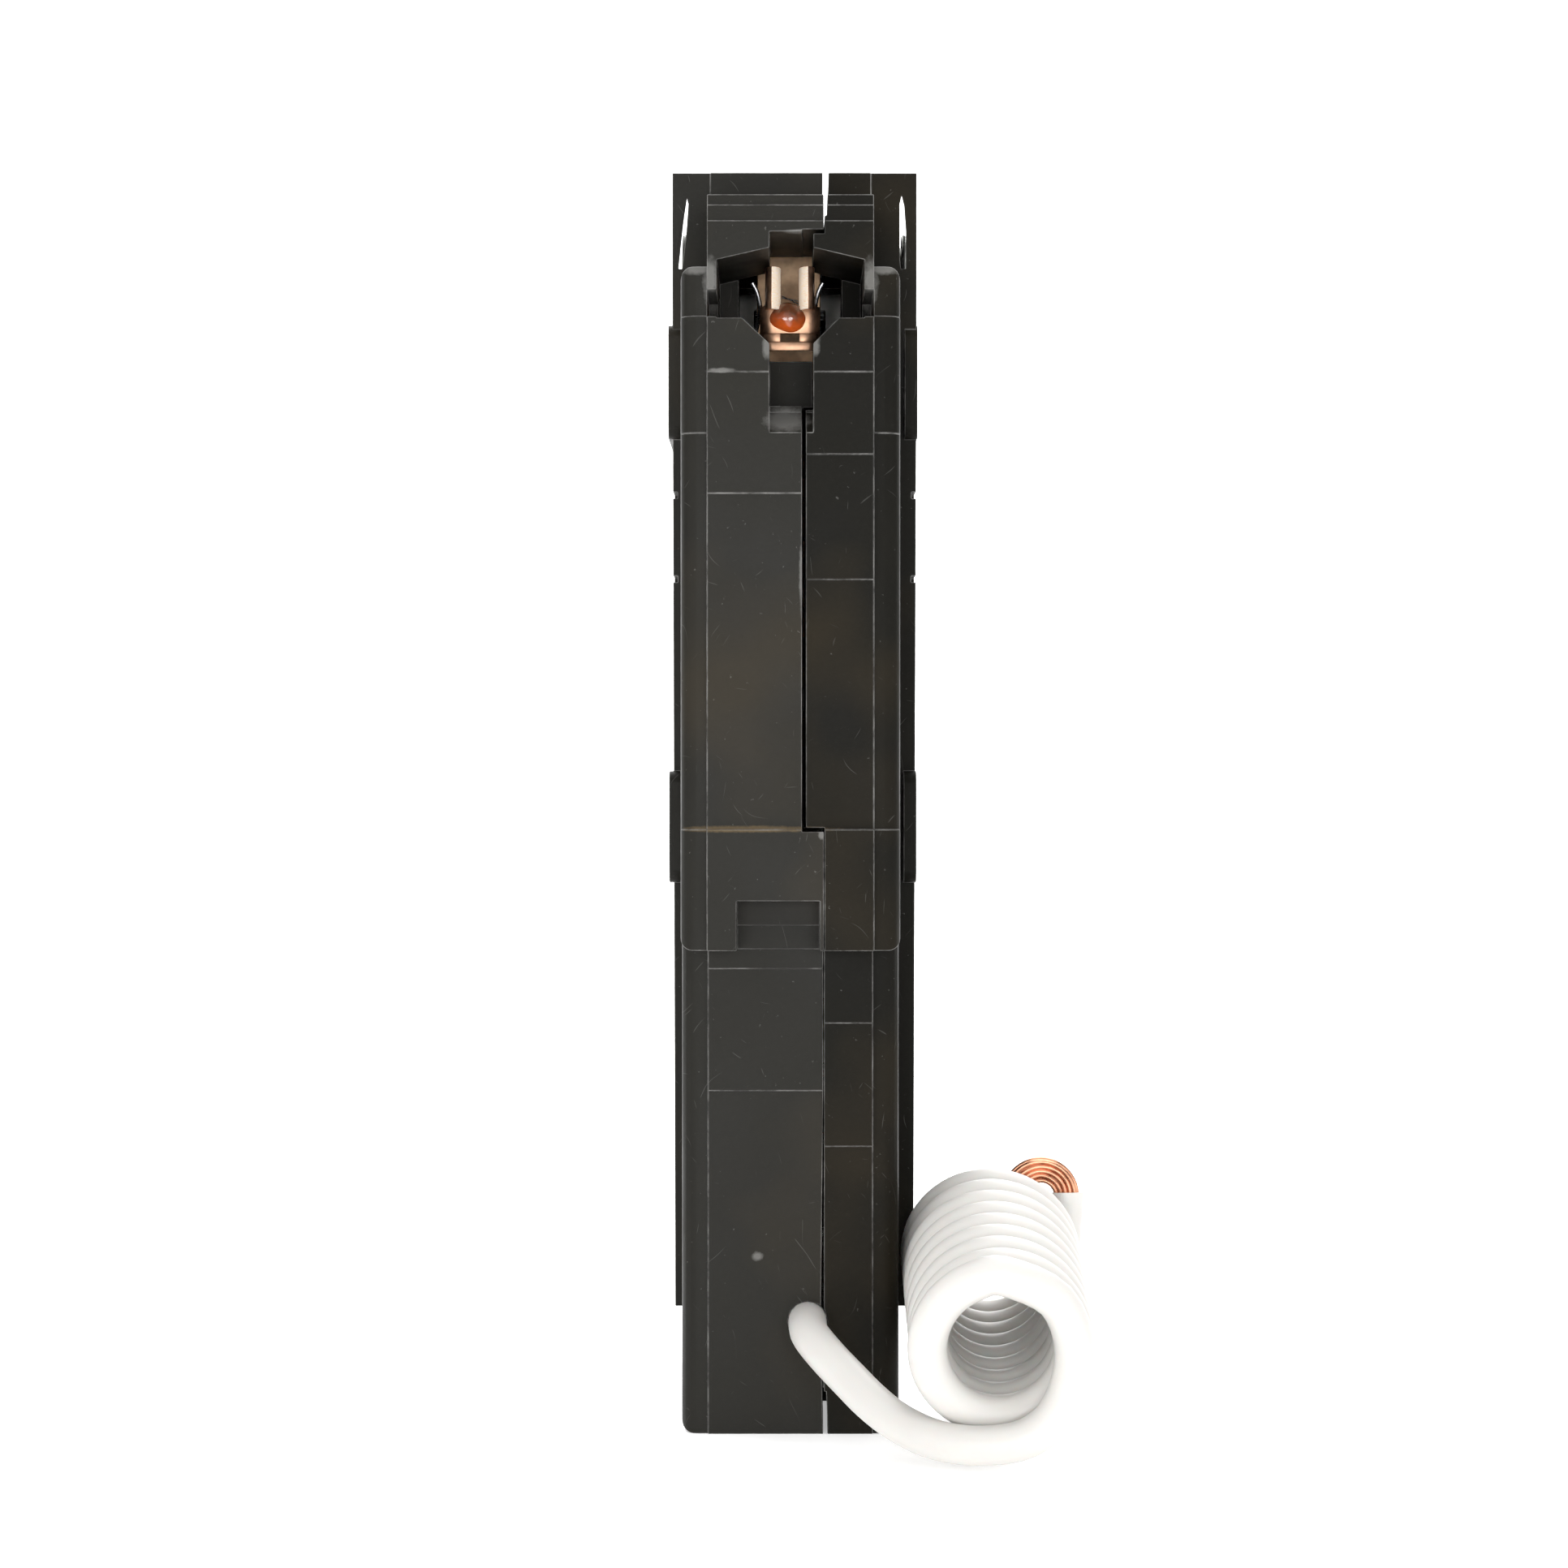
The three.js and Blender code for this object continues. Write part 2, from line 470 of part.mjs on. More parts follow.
function addTripParts() {
  const pivot = [35, 71.5];
  const lever = new THREE.Shape();
  lever.moveTo(33.2, 73.2);
  lever.lineTo(32.4, 70);
  lever.lineTo(29, 51.5);
  lever.lineTo(29, 49.9);
  lever.lineTo(30.5, 49.9);
  lever.lineTo(31.2, 53);
  lever.lineTo(35.2, 62);
  lever.lineTo(37.6, 63);
  lever.lineTo(37.6, 72);
  lever.lineTo(36.4, 74);
  lever.lineTo(34, 74);
  const bore = new THREE.Path();
  bore.absarc(...pivot, 1.5, 0, 2 * Math.PI, true);
  lever.holes.push(bore);
  add("cradle", extrude(lever, "side", 1.3, [-7, y(0), 0], 6), "steel");
  add("cradle_pin", rod("x", pivot, 1.2, -7.3, -4.4, 10), "steel");

  const plate = block([-3.2, 3.2], [28.2, 29.2], [36.8, 61]);
  const ear = block([-7.1, -3], [28.2, 29.2], [46.4, 49.6]);
  const ledge = block([-7.1, -5.5], [28.2, 30.8], [48.6, 49.6]);
  add("armature", union([plate, ear, ledge]), "steel");

  add("magnet_yoke", planSlab([
    [-4.6, 21], [4.6, 21], [4.6, 26.3], [3.6, 26.3], [3.6, 22], [-3.6, 22], [-3.6, 26.3], [-4.6, 26.3],
  ], 44, 52), "steel");
  add("bimetal", box([-2.6, 2.6], [23.6, 24.6], [31, 58.4]), "brass");
  add("calibration_screw", rod("y", [0, 55.6], 1.4, 12, 23.3, 8), "zinc");
  add("flexible_braid", tube([
    [0.2, 24.1, 59.8], [0.2, 24.6, 62.6], [0.3, 27.4, 66.2], [0.3, 32, 67.2], [0.3, 36, 66.2], [0.2, 38.6, 65.4],
  ], 0.85, 12, 6), "copper");
  add("toggle_spring", spring("z", [-3.3, 37.6], 0.9, 0.3, 63, 73.6, 6), "steel");
  const flag = union([block([-2.2, 2.2], [54.9, 56.1], [71, 73.8]), block([-0.7, 0.7], [46, 55], [71.6, 73])]);
  add("trip_flag", flag, "red");
  add("indicator_lens", box([-2.6, 2.6], [61.7, 62.8], [70.8, 74]), "clear");
}

function addArcChute() {
  const legs = faceSlab([
    [-6.3, 76], [-5.8, 76], [-5.8, 92.5], [5.8, 92.5], [5.8, 76], [6.3, 76], [6.3, 93.2], [-6.3, 93.2],
  ], 30.4, 39.4);
  add("arc_chute_frame", legs, "fibre");
  for (let i = 0; i < 3; i += 1) {
    const front = 31.6 + 2.8 * i;
    add(`arc_plate_${i + 1}`, faceSlab([
      [-5.4, 76.4], [-2.9, 76.4], [-2.9, 88], [2.9, 88], [2.9, 76.4], [5.4, 76.4], [5.4, 92.1], [-5.4, 92.1],
    ], front, front + 0.9), "steel");
  }
}

// ---------- ground-fault module ----------
function addGroundFaultModule() {
  const board = outline([[7, 15], [39.6, 15], [39.6, 44], [20.4, 44], [20.4, 36], [7, 36]]);
  add("circuit_board", extrude(board, "side", 1.2, [5.2, y(0), 0]), "board");
  add("sensor_core", ring([-1, 14], 2.75, 5.2, 27.6, 32), "winding");
  add("neutral_core", ring([-1, 14], 2.75, 5.2, 22.2, 26.4), "ferrite");
  add("controller_chip", box([3.6, 4.9], [21.4, 27.4], [17.4, 21.4]), "epoxy");
  add("trip_thyristor", box([3, 4.9], [34, 38.4], [26, 30.4]), "epoxy");
  add("filter_capacitor", rod("x", [28.4, 26.6], 2.4, 0.4, 4.9, 12), "blue");
  add("surge_varistor", rod("x", [34.6, 21.4], 2.9, 3, 4.9, 12), "red");
  add("resistor_1", rod("z", [3.9, 30.6], 0.8, 16.2, 21.6, 8), "fibre");
  add("resistor_2", rod("z", [3.9, 11], 0.8, 16.2, 21.4, 8), "fibre");

  const coilCentre = [0, 38.5];
  const coil = without(solid(rod("y", coilCentre, 4.6, 32.2, 41.2, 16)), [
    solid(rod("y", coilCentre, 1.8, 31, 43, 10)),
  ]);
  add("solenoid_coil", coil, "winding");
  const yoke = union([
    block([-4.4, 4.4], [30.9, 31.9], [32.6, 42.8]), block([-4.4, 4.4], [41.5, 42.5], [32.6, 42.8]),
    block([-4.4, 4.4], [30.9, 42.5], [32.6, 33.5]),
  ]);
  const frame = without(yoke, [
    solid(rod("y", coilCentre, 1.8, 30, 44, 10)), solid(rod("y", coilCentre, 4.9, 31.9, 41.5, 16)),
  ]);
  add("solenoid_frame", frame, "zinc");
  add("solenoid_plunger", union([
    solid(rod("y", coilCentre, 1.3, 29.5, 48, 10)), solid(rod("y", coilCentre, 2.1, 47, 48, 10)),
  ]), "steel");
  add("plunger_spring", spring("y", coilCentre, 1.85, 0.22, 43, 46.5, 4), "steel");

  add("load_conductor", tube([
    [-1.2, 22.3, 33], [-1.8, 20.6, 37.2], [-2.3, 17.4, 38.8], [-2.3, 14.8, 37], [-2.3, 14, 33], [-2.3, 14, 27],
    [-2.3, 14, 21.5], [-2.3, 15.4, 17.8], [-2.2, 20, 16.6], [-1.6, 30, 16.6], [-0.8, 36, 17.3], [-0.2, 38.6, 20],
    [0, 40, 23.4], [0, 41, 24.4],
  ], 0.95, 26, 8), "copper");
  add("neutral_conductor", tube([
    [1.3, 6.2, 8.5], [1.3, 9, 9.6], [0.9, 12.4, 13.2], [0.4, 14, 18], [0.3, 14, 24], [0.3, 14, 33],
    [0.7, 15.4, 36.4], [1.4, 18, 37], [1.8, 20.3, 34], [1.8, 20.6, 26], [1.6, 21, 18], [1.2, 22.6, 12],
    [0.6, 24, 8.8], [0.3, 25.6, 8],
  ], 0.95, 28, 8), "white");
}

function addTestButton() {
  const cap = solid(box([-3.4, 3.4], [58, 64.6], [38.5, 44.2]));
  const stem = solid(box([-1.6, 1.6], [55.2, 58.4], [39.8, 42.9]));
  const flange = solid(box([-4.4, 4.4], [59.2, 60.6], [37.9, 44.8]));
  add("test_button", union([cap, stem, flange]), "button");
  add("test_button_spring", spring("y", [0, 41.3], 1.5, 0.22, 51.4, 54.8, 4), "steel");
  add("test_contact_strip", box([-2.6, 2.6], [50.4, 50.9], [37.9, 44.6]), "brass");
}

// ---------- terminals ----------
function addTerminals() {
  TERMINALS.forEach(({ name, lug, base, clamp }) => {
    const heights = [base, base + LUG_HEIGHT];
    const middle = base + LUG_HEIGHT / 2;
    const cage = without(block([-5.2, 5.2], lug, heights), [
      block([-3.6, 3.6], [lug[0] + 1.2, lug[0] + 8.7], [base - 1, base + LUG_HEIGHT + 1]),
      solid(rod("y", [0, middle], 2.95, lug[0] + 8, lug[1] + 1, 16)),
    ]);
    add(`${name}_lug`, cage, "zinc");
    add(`${name}_pressure_plate`, box([-3.2, 3.2], [clamp, clamp + 1], [base + 1, base + LUG_HEIGHT - 1]), "steel");
    const screw = without(solid(rod("y", [0, middle], 2.6, clamp + 1.3, clamp + 7.6, 14)), [
      block([-3, 3], [clamp + 6.6, clamp + 9], [middle - 0.45, middle + 0.45]),
    ]);
    add(`${name}_screw`, screw, "zinc");
  });
}

// ---------- pigtail ----------
// A point of the coil, from the turn's angle, the distance along the coil's axis and the radius.
function coilPoint(degrees, along, radius = COIL_R) {
  const angle = THREE.MathUtils.degToRad(degrees);
  const tilt = THREE.MathUtils.degToRad(COIL_TILT);
  const up = radius * Math.sin(angle);
  return [
    COIL_FRONT.x + radius * Math.cos(angle) + along * Math.sin(THREE.MathUtils.degToRad(COIL_YAW)),
    COIL_FRONT.y + along * Math.cos(tilt) - up * Math.sin(tilt),
    COIL_FRONT.z + along * Math.sin(tilt) + up * Math.cos(tilt),
  ];
}

function addPigtail() {
  const lead = [
    [1.3, 5.5, 8.5], [1.3, 3, 8.5], [1.5, 0.6, 8], [2.75, -2, 6.8], [4.25, -4, 5.5], [5.95, -6.2, 4.1],
    [7.96, -8.4, 2.9], [10.5, -10.8, 2.15], [13.6, -12.1, 2.0],
    [16.8, -12.4, 2.6], [19.1, -12.5, 4.7], coilPoint(0, -2.15, 5), coilPoint(45, -1.95, 4.9), coilPoint(84, -1.8),
  ];
  add("pigtail_lead", tube(lead, WIRE_R, 30), "white");
  const r = WIRE_R;
  const section = [[COIL_R - r, 0.6], [COIL_R - r * 0.6, 0], [COIL_R + r * 0.6, 0], [COIL_R + r, 0.6],
    [COIL_R + r, COIL_LENGTH - 0.6], [COIL_R + r * 0.6, COIL_LENGTH], [COIL_R - r * 0.6, COIL_LENGTH],
    [COIL_R - r, COIL_LENGTH - 0.6], [COIL_R - r, 0.6]];
  const coil = new THREE.LatheGeometry(section.map(([u, v]) => new THREE.Vector2(u, v)), 20);
  coil.rotateZ(-THREE.MathUtils.degToRad(COIL_YAW));
  coil.rotateX(THREE.MathUtils.degToRad(COIL_TILT));
  coil.translate(COIL_FRONT.x, y(COIL_FRONT.y), COIL_FRONT.z);
  add("pigtail_coil", coil, "white");
  const tail = [coilPoint(-4, COIL_LENGTH + 1.9), [21.1, 17.2, 15], [21.2, 17.4, 16.2], [21.2, 17.5, 17.2]];
  add("pigtail_tail", tube(tail, WIRE_R, 6), "white");
  const bare = [];
  for (let i = 0; i <= 8; i += 1) {
    const angle = THREE.MathUtils.degToRad(8 + 22 * i);
    bare.push([19.2 + 2 * Math.cos(angle), 17.5, 17.25 + 2 * Math.sin(angle)]);
  }
  add("pigtail_strands", tube(bare, 0.95, 10), "copper");
}

addCase();
addLineEnd();
addHandle();
addContactArm();
addTripParts();
addArcChute();
addGroundFaultModule();
addTestButton();
addTerminals();
addPigtail();

export default model;
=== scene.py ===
"""A plug-on GFCI breaker with a coiled neutral pigtail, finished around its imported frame."""
import json
import math
import random

import bmesh
import bpy
from mathutils import Matrix, Vector


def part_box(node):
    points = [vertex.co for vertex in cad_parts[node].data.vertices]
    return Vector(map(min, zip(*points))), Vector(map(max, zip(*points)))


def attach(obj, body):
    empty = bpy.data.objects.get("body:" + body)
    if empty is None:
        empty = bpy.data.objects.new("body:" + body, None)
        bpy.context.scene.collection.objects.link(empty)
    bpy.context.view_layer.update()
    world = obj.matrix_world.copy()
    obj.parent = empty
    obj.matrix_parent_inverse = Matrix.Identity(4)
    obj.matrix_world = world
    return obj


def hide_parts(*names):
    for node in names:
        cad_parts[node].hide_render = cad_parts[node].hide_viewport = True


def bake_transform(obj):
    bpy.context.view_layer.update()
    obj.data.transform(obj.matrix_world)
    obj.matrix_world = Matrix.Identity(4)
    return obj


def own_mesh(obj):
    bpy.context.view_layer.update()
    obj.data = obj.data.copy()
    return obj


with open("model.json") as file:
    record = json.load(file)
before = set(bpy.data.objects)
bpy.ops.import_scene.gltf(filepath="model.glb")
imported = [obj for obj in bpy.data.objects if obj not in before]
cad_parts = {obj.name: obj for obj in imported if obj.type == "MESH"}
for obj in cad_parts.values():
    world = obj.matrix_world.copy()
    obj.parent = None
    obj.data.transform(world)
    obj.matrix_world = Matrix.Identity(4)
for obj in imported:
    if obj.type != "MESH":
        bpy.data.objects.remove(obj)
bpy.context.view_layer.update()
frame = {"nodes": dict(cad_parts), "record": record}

bl_info = {
    "name": "GFCI Breaker",
    "version": (1, 0, 0),
    "blender": (4, 5, 0),
    "location": "3D View > Sidebar > Breaker",
    "description": "Builds the finished surfaces of a plug-on GFCI breaker",
    "category": "Object",
}

MM = 0.001


def mm(*values):
    """Millimetres as metres, one number or a vector."""
    if len(values) == 1:
        return values[0] * MM
    return Vector(values) * MM


def linear(hex_colour):
    """An sRGB hex colour as linear RGBA."""
    channels = [int(hex_colour[i:i + 2], 16) / 255 for i in (0, 2, 4)]
    out = [c / 12.92 if c <= 0.04045 else ((c + 0.055) / 1.055) ** 2.4 for c in channels]
    return (*out, 1.0)


# ---------------------------------------------------------------- user values
def length_prop(label, about, default_mm):
    """A length that is typed in mm and stored in metres."""
    return bpy.props.FloatProperty(name=label, description=about, default=default_mm * MM, min=0.0,
                                   precision=5, subtype="DISTANCE", unit="LENGTH")


def colour_prop(label, about, hex_colour):
    """A colour given as sRGB hex and stored as linear RGBA."""
    return bpy.props.FloatVectorProperty(name=label, description=about, size=4, min=0.0, max=1.0,
                                         subtype="COLOR", default=linear(hex_colour))


class BreakerSizes(bpy.types.PropertyGroup):
    """Sizes that the frame doesn't hold."""
    edge: length_prop("Worn edge", "Width of the rounded, worn edge of the case", 0.055)
    metal_edge: length_prop("Metal edge", "Width of the broken edge on stamped metal", 0.08)
    wire: length_prop("Pigtail diameter", "Diameter over the pigtail's insulation", 2.88)
    coil: length_prop("Coil radius", "Radius of the middle of the pigtail's turns", 5.2)
    pitch: length_prop("Coil pitch", "Distance between neighbouring turns", 3.02)
    strand: length_prop("Strand diameter", "Diameter of one bare copper strand", 0.38)
    turns: bpy.props.FloatProperty(name="Turns", description="Turns of the coil after its first loop",
                                   default=8.75, min=1.0, max=20.0)


class BreakerColours(bpy.types.PropertyGroup):
    """Colours of the finishes."""
    case: colour_prop("Case", "Black moulded case", "1D1C18")
    # Pale colour of worn edges and scratches, also painted on as highlight along the case's edges.
    wear_and_highlight: colour_prop("Worn edge", "Rubbed edges and scratches of the case", "807F7C")
    dust: colour_prop("Dust", "Dust caught on ledges", "5E4F36")
    copper: colour_prop("Copper", "Stamped jaw copper", "E2AE8A")
    varnish: colour_prop("Varnish", "Amber varnish run on the jaw clip", "B9501C")
    wire: colour_prop("Insulation", "White wire insulation", "CECCC8")
    handle: colour_prop("Handle", "Toggle handle", "1E1E1E")
    button: colour_prop("Test button", "Test button", "CBC4B0")
    flag: colour_prop("Trip flag", "Trip flag", "B3241C")
    floor: colour_prop("Floor", "Studio floor", "F6F6F6")


def sizes():
    return bpy.context.scene.breaker_sizes


def colours():
    return bpy.context.scene.breaker_colours


# ---------------------------------------------------------------- node helpers
def new_node(tree, kind, inputs=None, **settings):
    """Adds a node. An input's value is a number, a colour or the output that feeds it."""
    made = tree.nodes.new(kind)
    for name, value in settings.items():
        setattr(made, name, value)
    for name, value in (inputs or {}).items():
        if isinstance(value, bpy.types.NodeSocket):
            tree.links.new(value, made.inputs[name])
        else:
            made.inputs[name].default_value = value
    return made


def new_material(name):
    """An empty node material and its tree."""
    material = bpy.data.materials.new(name)
    material.use_nodes = True
    material.node_tree.nodes.clear()
    return material, material.node_tree


def finish_material(tree, inputs, bump=None):
    """Ends a material in one Principled BSDF, with an optional (height, distance) bump."""
    values = dict(inputs)
    if bump:
        height, distance = bump
        normal = new_node(tree, "ShaderNodeBump", {"Height": height, "Distance": distance, "Strength": 1.0})
        values["Normal"] = normal.outputs["Normal"]
    shader = new_node(tree, "ShaderNodeBsdfPrincipled", values)
    new_node(tree, "ShaderNodeOutputMaterial", {"Surface": shader.outputs["BSDF"]})


def object_point(tree, stretch=(1, 1, 1), turn=(0, 0, 0)):
    place = new_node(tree, "ShaderNodeTexCoord")
    return new_node(tree, "ShaderNodeMapping", {"Vector": place.outputs["Object"], "Scale": stretch,
                                               "Rotation": turn}).outputs["Vector"]


def noise(tree, point, grain_mm, detail=3.0, roughness=0.55):
    """Noise whose lumps are about grain_mm wide."""
    made = new_node(tree, "ShaderNodeTexNoise", {"Vector": point, "Scale": 1 / mm(grain_mm), "Detail": detail,
                                                 "Roughness": roughness})
    return made.outputs["Fac"]


def spread(tree, value, low, high, to_low=0.0, to_high=1.0):
    """The range low to high of a value, clamped and stretched to another range."""
    made = new_node(tree, "ShaderNodeMapRange", {"Value": value, "From Min": low, "From Max": high,
                                                 "To Min": to_low, "To Max": to_high})
    return made.outputs["Result"]


def blend(tree, factor, first, second):
    """Two colours mixed by a factor."""
    made = new_node(tree, "ShaderNodeMix", data_type="RGBA")
    for index, value in ((0, factor), (6, first), (7, second)):
        if isinstance(value, bpy.types.NodeSocket):
            tree.links.new(value, made.inputs[index])
        else:
            made.inputs[index].default_value = value
    return made.outputs[2]


def math_of(tree, operation, first, second=0.0):
    made = new_node(tree, "ShaderNodeMath", {0: first, 1: second}, operation=operation)
    return made.outputs[0]


def tint(colour, factor):
    """A linear colour made lighter or darker."""
    return (*[min(1.0, c * factor) for c in colour[:3]], 1.0)


# ---------------------------------------------------------------- materials
def scratch_mask(tree):
    """Sparse fine rubs in a few directions: the last crests of stretched noise, bent and broken up."""
    total = None
    place = object_point(tree)
    bend = new_node(tree, "ShaderNodeTexNoise", {"Vector": place, "Scale": 1 / mm(7.0), "Detail": 1.0})
    shift = new_node(tree, "ShaderNodeVectorMath", {0: bend.outputs["Color"], 1: (0.006, 0.006, 0.006)},
                     operation="MULTIPLY")
    bent = new_node(tree, "ShaderNodeVectorMath", {0: place, 1: shift.outputs[0]}, operation="ADD")
    for stretch, turn in ((20, 0.62), (15, -0.95), (24, 1.35)):
        drawn = new_node(tree, "ShaderNodeMapping", {"Vector": bent.outputs[0], "Scale": (1, 1, 1 / stretch),
                                                     "Rotation": (0, turn, 0)}, vector_type="TEXTURE")
        lines = spread(tree, noise(tree, drawn.outputs["Vector"], 3.0, 1.0, 0.4), 0.77, 0.8)
        total = lines if total is None else math_of(tree, "MAXIMUM", total, lines)
    return total


def spot(tree, point, centre, reach):
    """A mask that is 1 inside an ellipsoid given in x, depth, z and mm, with a ragged, soft rim."""
    rim, softness = 1.5, 0.35
    away = new_node(tree, "ShaderNodeVectorMath", {0: point, 1: at(centre)}, operation="SUBTRACT")
    scaled = new_node(tree, "ShaderNodeVectorMath", {0: away.outputs[0], 1: tuple(1 / mm(r) for r in reach)},
                      operation="MULTIPLY")
    far = new_node(tree, "ShaderNodeVectorMath", {0: scaled.outputs[0]}, operation="LENGTH")
    ragged = math_of(tree, "ADD", far.outputs["Value"], noise(tree, point, 0.7, 4.0, 0.7))
    return spread(tree, ragged, rim + softness, rim - softness)


# Where the case is worn pale, and where pale lines are painted on as highlight: middle in x, depth and z, then
# reach along each, in mm.
WORN_AND_HIGHLIGHT_SPOTS = (
    ((-5.95, 3, 86.4), (0.5, 8, 1.5)), ((5.95, 3, 86.4), (0.5, 8, 1.5)), ((-0.4, 1.6, 76.1), (1.5, 2, 1.0)),
    ((-6.9, 0.8, 87.3), (1.2, 1.2, 0.35)), ((6.9, 0.8, 87.3), (1.2, 1.2, 0.35)),
    ((-1.7, 0.2, 81.4), (0.35, 1, 0.8)), ((1.8, 0.2, 81.6), (0.35, 1, 0.8)), ((0.9, 0.2, 64.5), (0.22, 1, 2.6)),
    ((-5.2, 0.2, 79.7), (0.9, 1, 0.16)), ((0.6, 0.2, 90.0), (1.0, 1, 0.14)), ((2.3, 0, 45.2), (0.2, 1, 0.3)),
    # The two spots at x ±8.25 are painted highlight lines along the rails' outer edges.
    ((-2.5, 4.4, 13.4), (0.4, 1, 0.3)), ((-8.25, 1.2, 61), (0.09, 1.1, 27)), ((8.25, 1.2, 61), (0.09, 1.1, 27)),
)
DUST_LINE = ((-3.4, 0.3, 45.65), (5.6, 1.2, 0.22))  # dust on the ledge over the foot, as above
# Painted shade: inside the hook's slot the pale edges fade out, as above.
SHADED_SLOT = ((-0.9, 2, 37.4), (3.5, 6, 3.4))


def thermoset_colour(tree, case, wear_and_highlight, dust):
    """The mottled, dusty black of a moulded thermoset case, pale where it's worn, with painted highlight lines
    along the rails' outer edges.
    """
    point = object_point(tree)
    cloud = noise(tree, point, 9.0, 4.0)
    base = blend(tree, cloud, tint(case, 0.7), tint(case, 1.4))
    speck = spread(tree, noise(tree, point, 0.4, 2.0), 0.72, 0.78)
    dusty = blend(tree, math_of(tree, "MULTIPLY", speck, 0.2), base, wear_and_highlight)
    patches = spread(tree, noise(tree, point, 14.0, 2.0), 0.5, 0.75, 0.0, 0.1)
    hazed = blend(tree, patches, dusty, dust)
    line = spot(tree, point, *DUST_LINE)
    settled = blend(tree, math_of(tree, "MULTIPLY", line, 0.75), hazed, dust)
    worn_and_highlight = None
    for centre, reach in WORN_AND_HIGHLIGHT_SPOTS:
        one = spot(tree, point, centre, reach)
        worn_and_highlight = one if worn_and_highlight is None else math_of(tree, "MAXIMUM", worn_and_highlight, one)
    return blend(tree, math_of(tree, "MULTIPLY", worn_and_highlight, 0.5), settled, wear_and_highlight), cloud


def moulded_case(name, case, sheen):
    """Black phenolic moulding: satin, slightly mottled, with fine rubs that catch the light."""
    material, tree = new_material(name)
    wear_and_highlight = tuple(colours().wear_and_highlight)
    colour, cloud = thermoset_colour(tree, case, wear_and_highlight, tuple(colours().dust))
    final = blend(tree, math_of(tree, "MULTIPLY", scratch_mask(tree), 0.12), colour, wear_and_highlight)
    grain = noise(tree, object_point(tree), 0.3, 3.0)
    rough = spread(tree, cloud, 0.3, 0.7, 0.42, 0.56)
    finish_material(tree, {"Base Color": final, "Roughness": rough, "Specular IOR Level": sheen},
                    (grain, mm(0.012)))
    return material


def worn_and_highlit_edge(name, case):
    """The same moulding with its corners pale and dusty, unevenly along their length: partly worn, partly a painted
    highlight on the edges.
    """
    material, tree = new_material(name)
    wear_and_highlight = tuple(colours().wear_and_highlight)
    colour, cloud = thermoset_colour(tree, case, wear_and_highlight, tuple(colours().dust))
    # Pale along the edges: partly worn, partly painted highlight.
    rub_and_highlight = spread(tree, noise(tree, object_point(tree), 2.4, 6.0, 0.75), 0.4, 0.66, 0.03, 0.7)
    # Painted shade: the pale edges fade out inside the hook's slot.
    bare = math_of(tree, "SUBTRACT", 1.0, spot(tree, object_point(tree), *SHADED_SLOT))
    final = blend(tree, math_of(tree, "MULTIPLY", rub_and_highlight, bare), colour, wear_and_highlight)
    finish_material(tree, {"Base Color": final, "Roughness": 0.6})
    return material


def stamped_copper(name, colour, rough=0.28):
    """Bare copper strip, stamped and bent: warm, bright on its edges, tarnished in patches."""
    material, tree = new_material(name)
    point = object_point(tree)
    patch = noise(tree, point, 1.6, 3.0)
    tone = blend(tree, spread(tree, patch, 0.35, 0.65), tint(colour, 0.62), tint(colour, 1.25))
    drag = noise(tree, object_point(tree, (1, 12, 1)), 0.8, 2.0)
    finish_material(tree, {"Base Color": tone, "Metallic": 1.0,
                           "Roughness": spread(tree, patch, 0.3, 0.7, rough - 0.08, rough + 0.14)},
                    (drag, mm(0.01)))
    return material


def worked_metal(name, hex_colour, rough, grain=(1, 1, 1)):
    """Stamped or turned metal, with a faint drag mark along the grain."""
    material, tree = new_material(name)
    colour = linear(hex_colour)
    patch = noise(tree, object_point(tree), 2.0, 3.0)
    drag = noise(tree, object_point(tree, grain), 0.25, 2.0)
    tone = blend(tree, patch, tint(colour, 0.78), tint(colour, 1.12))
    finish_material(tree, {"Base Color": tone, "Metallic": 1.0,
                           "Roughness": spread(tree, drag, 0.3, 0.7, rough - 0.07, rough + 0.1)},
                    (drag, mm(0.006)))
    return material


def moulded_plastic(name, colour, rough=0.4, grain_mm=0.25, depth_mm=0.008):
    """Injection-moulded plastic: even colour with a faint flow mottle and a fine spark texture."""
    material, tree = new_material(name)
    point = object_point(tree)
    flow = noise(tree, point, 6.0, 2.0)
    tone = blend(tree, flow, tint(colour, 0.88), tint(colour, 1.1))
    uneven = spread(tree, flow, 0.3, 0.7, rough - 0.05, rough + 0.06)
    finish_material(tree, {"Base Color": tone, "Roughness": uneven},
                    (noise(tree, point, grain_mm, 2.0), mm(depth_mm)))
    return material


def wire_vinyl(name, colour):
    """Extruded white vinyl: milky, smooth, faintly soiled by handling."""
    material, tree = new_material(name)
    point = object_point(tree)
    soil = spread(tree, noise(tree, point, 5.0, 4.0), 0.55, 0.8, 0.0, 0.35)
    tone = blend(tree, soil, colour, linear("DDD9D2"))
    finish_material(tree, {"Base Color": tone, "Roughness": 0.42, "Subsurface Weight": 0.12,
                           "Subsurface Scale": mm(0.8)}, (noise(tree, point, 0.7, 2.0), mm(0.01)))
    return material


def clear_lens(name):
    """Clear moulded polycarbonate window."""
    material, tree = new_material(name)
    haze = noise(tree, object_point(tree), 1.5, 2.0)
    finish_material(tree, {"Base Color": linear("F4F8F8"), "Transmission Weight": 1.0, "IOR": 1.58,
                           "Roughness": spread(tree, haze, 0.3, 0.7, 0.02, 0.08)})
    return material


# ---------------------------------------------------------------- mesh helpers
def link(name, mesh):
    piece = bpy.data.objects.new(name, mesh)
    bpy.context.scene.collection.objects.link(piece)
    return piece


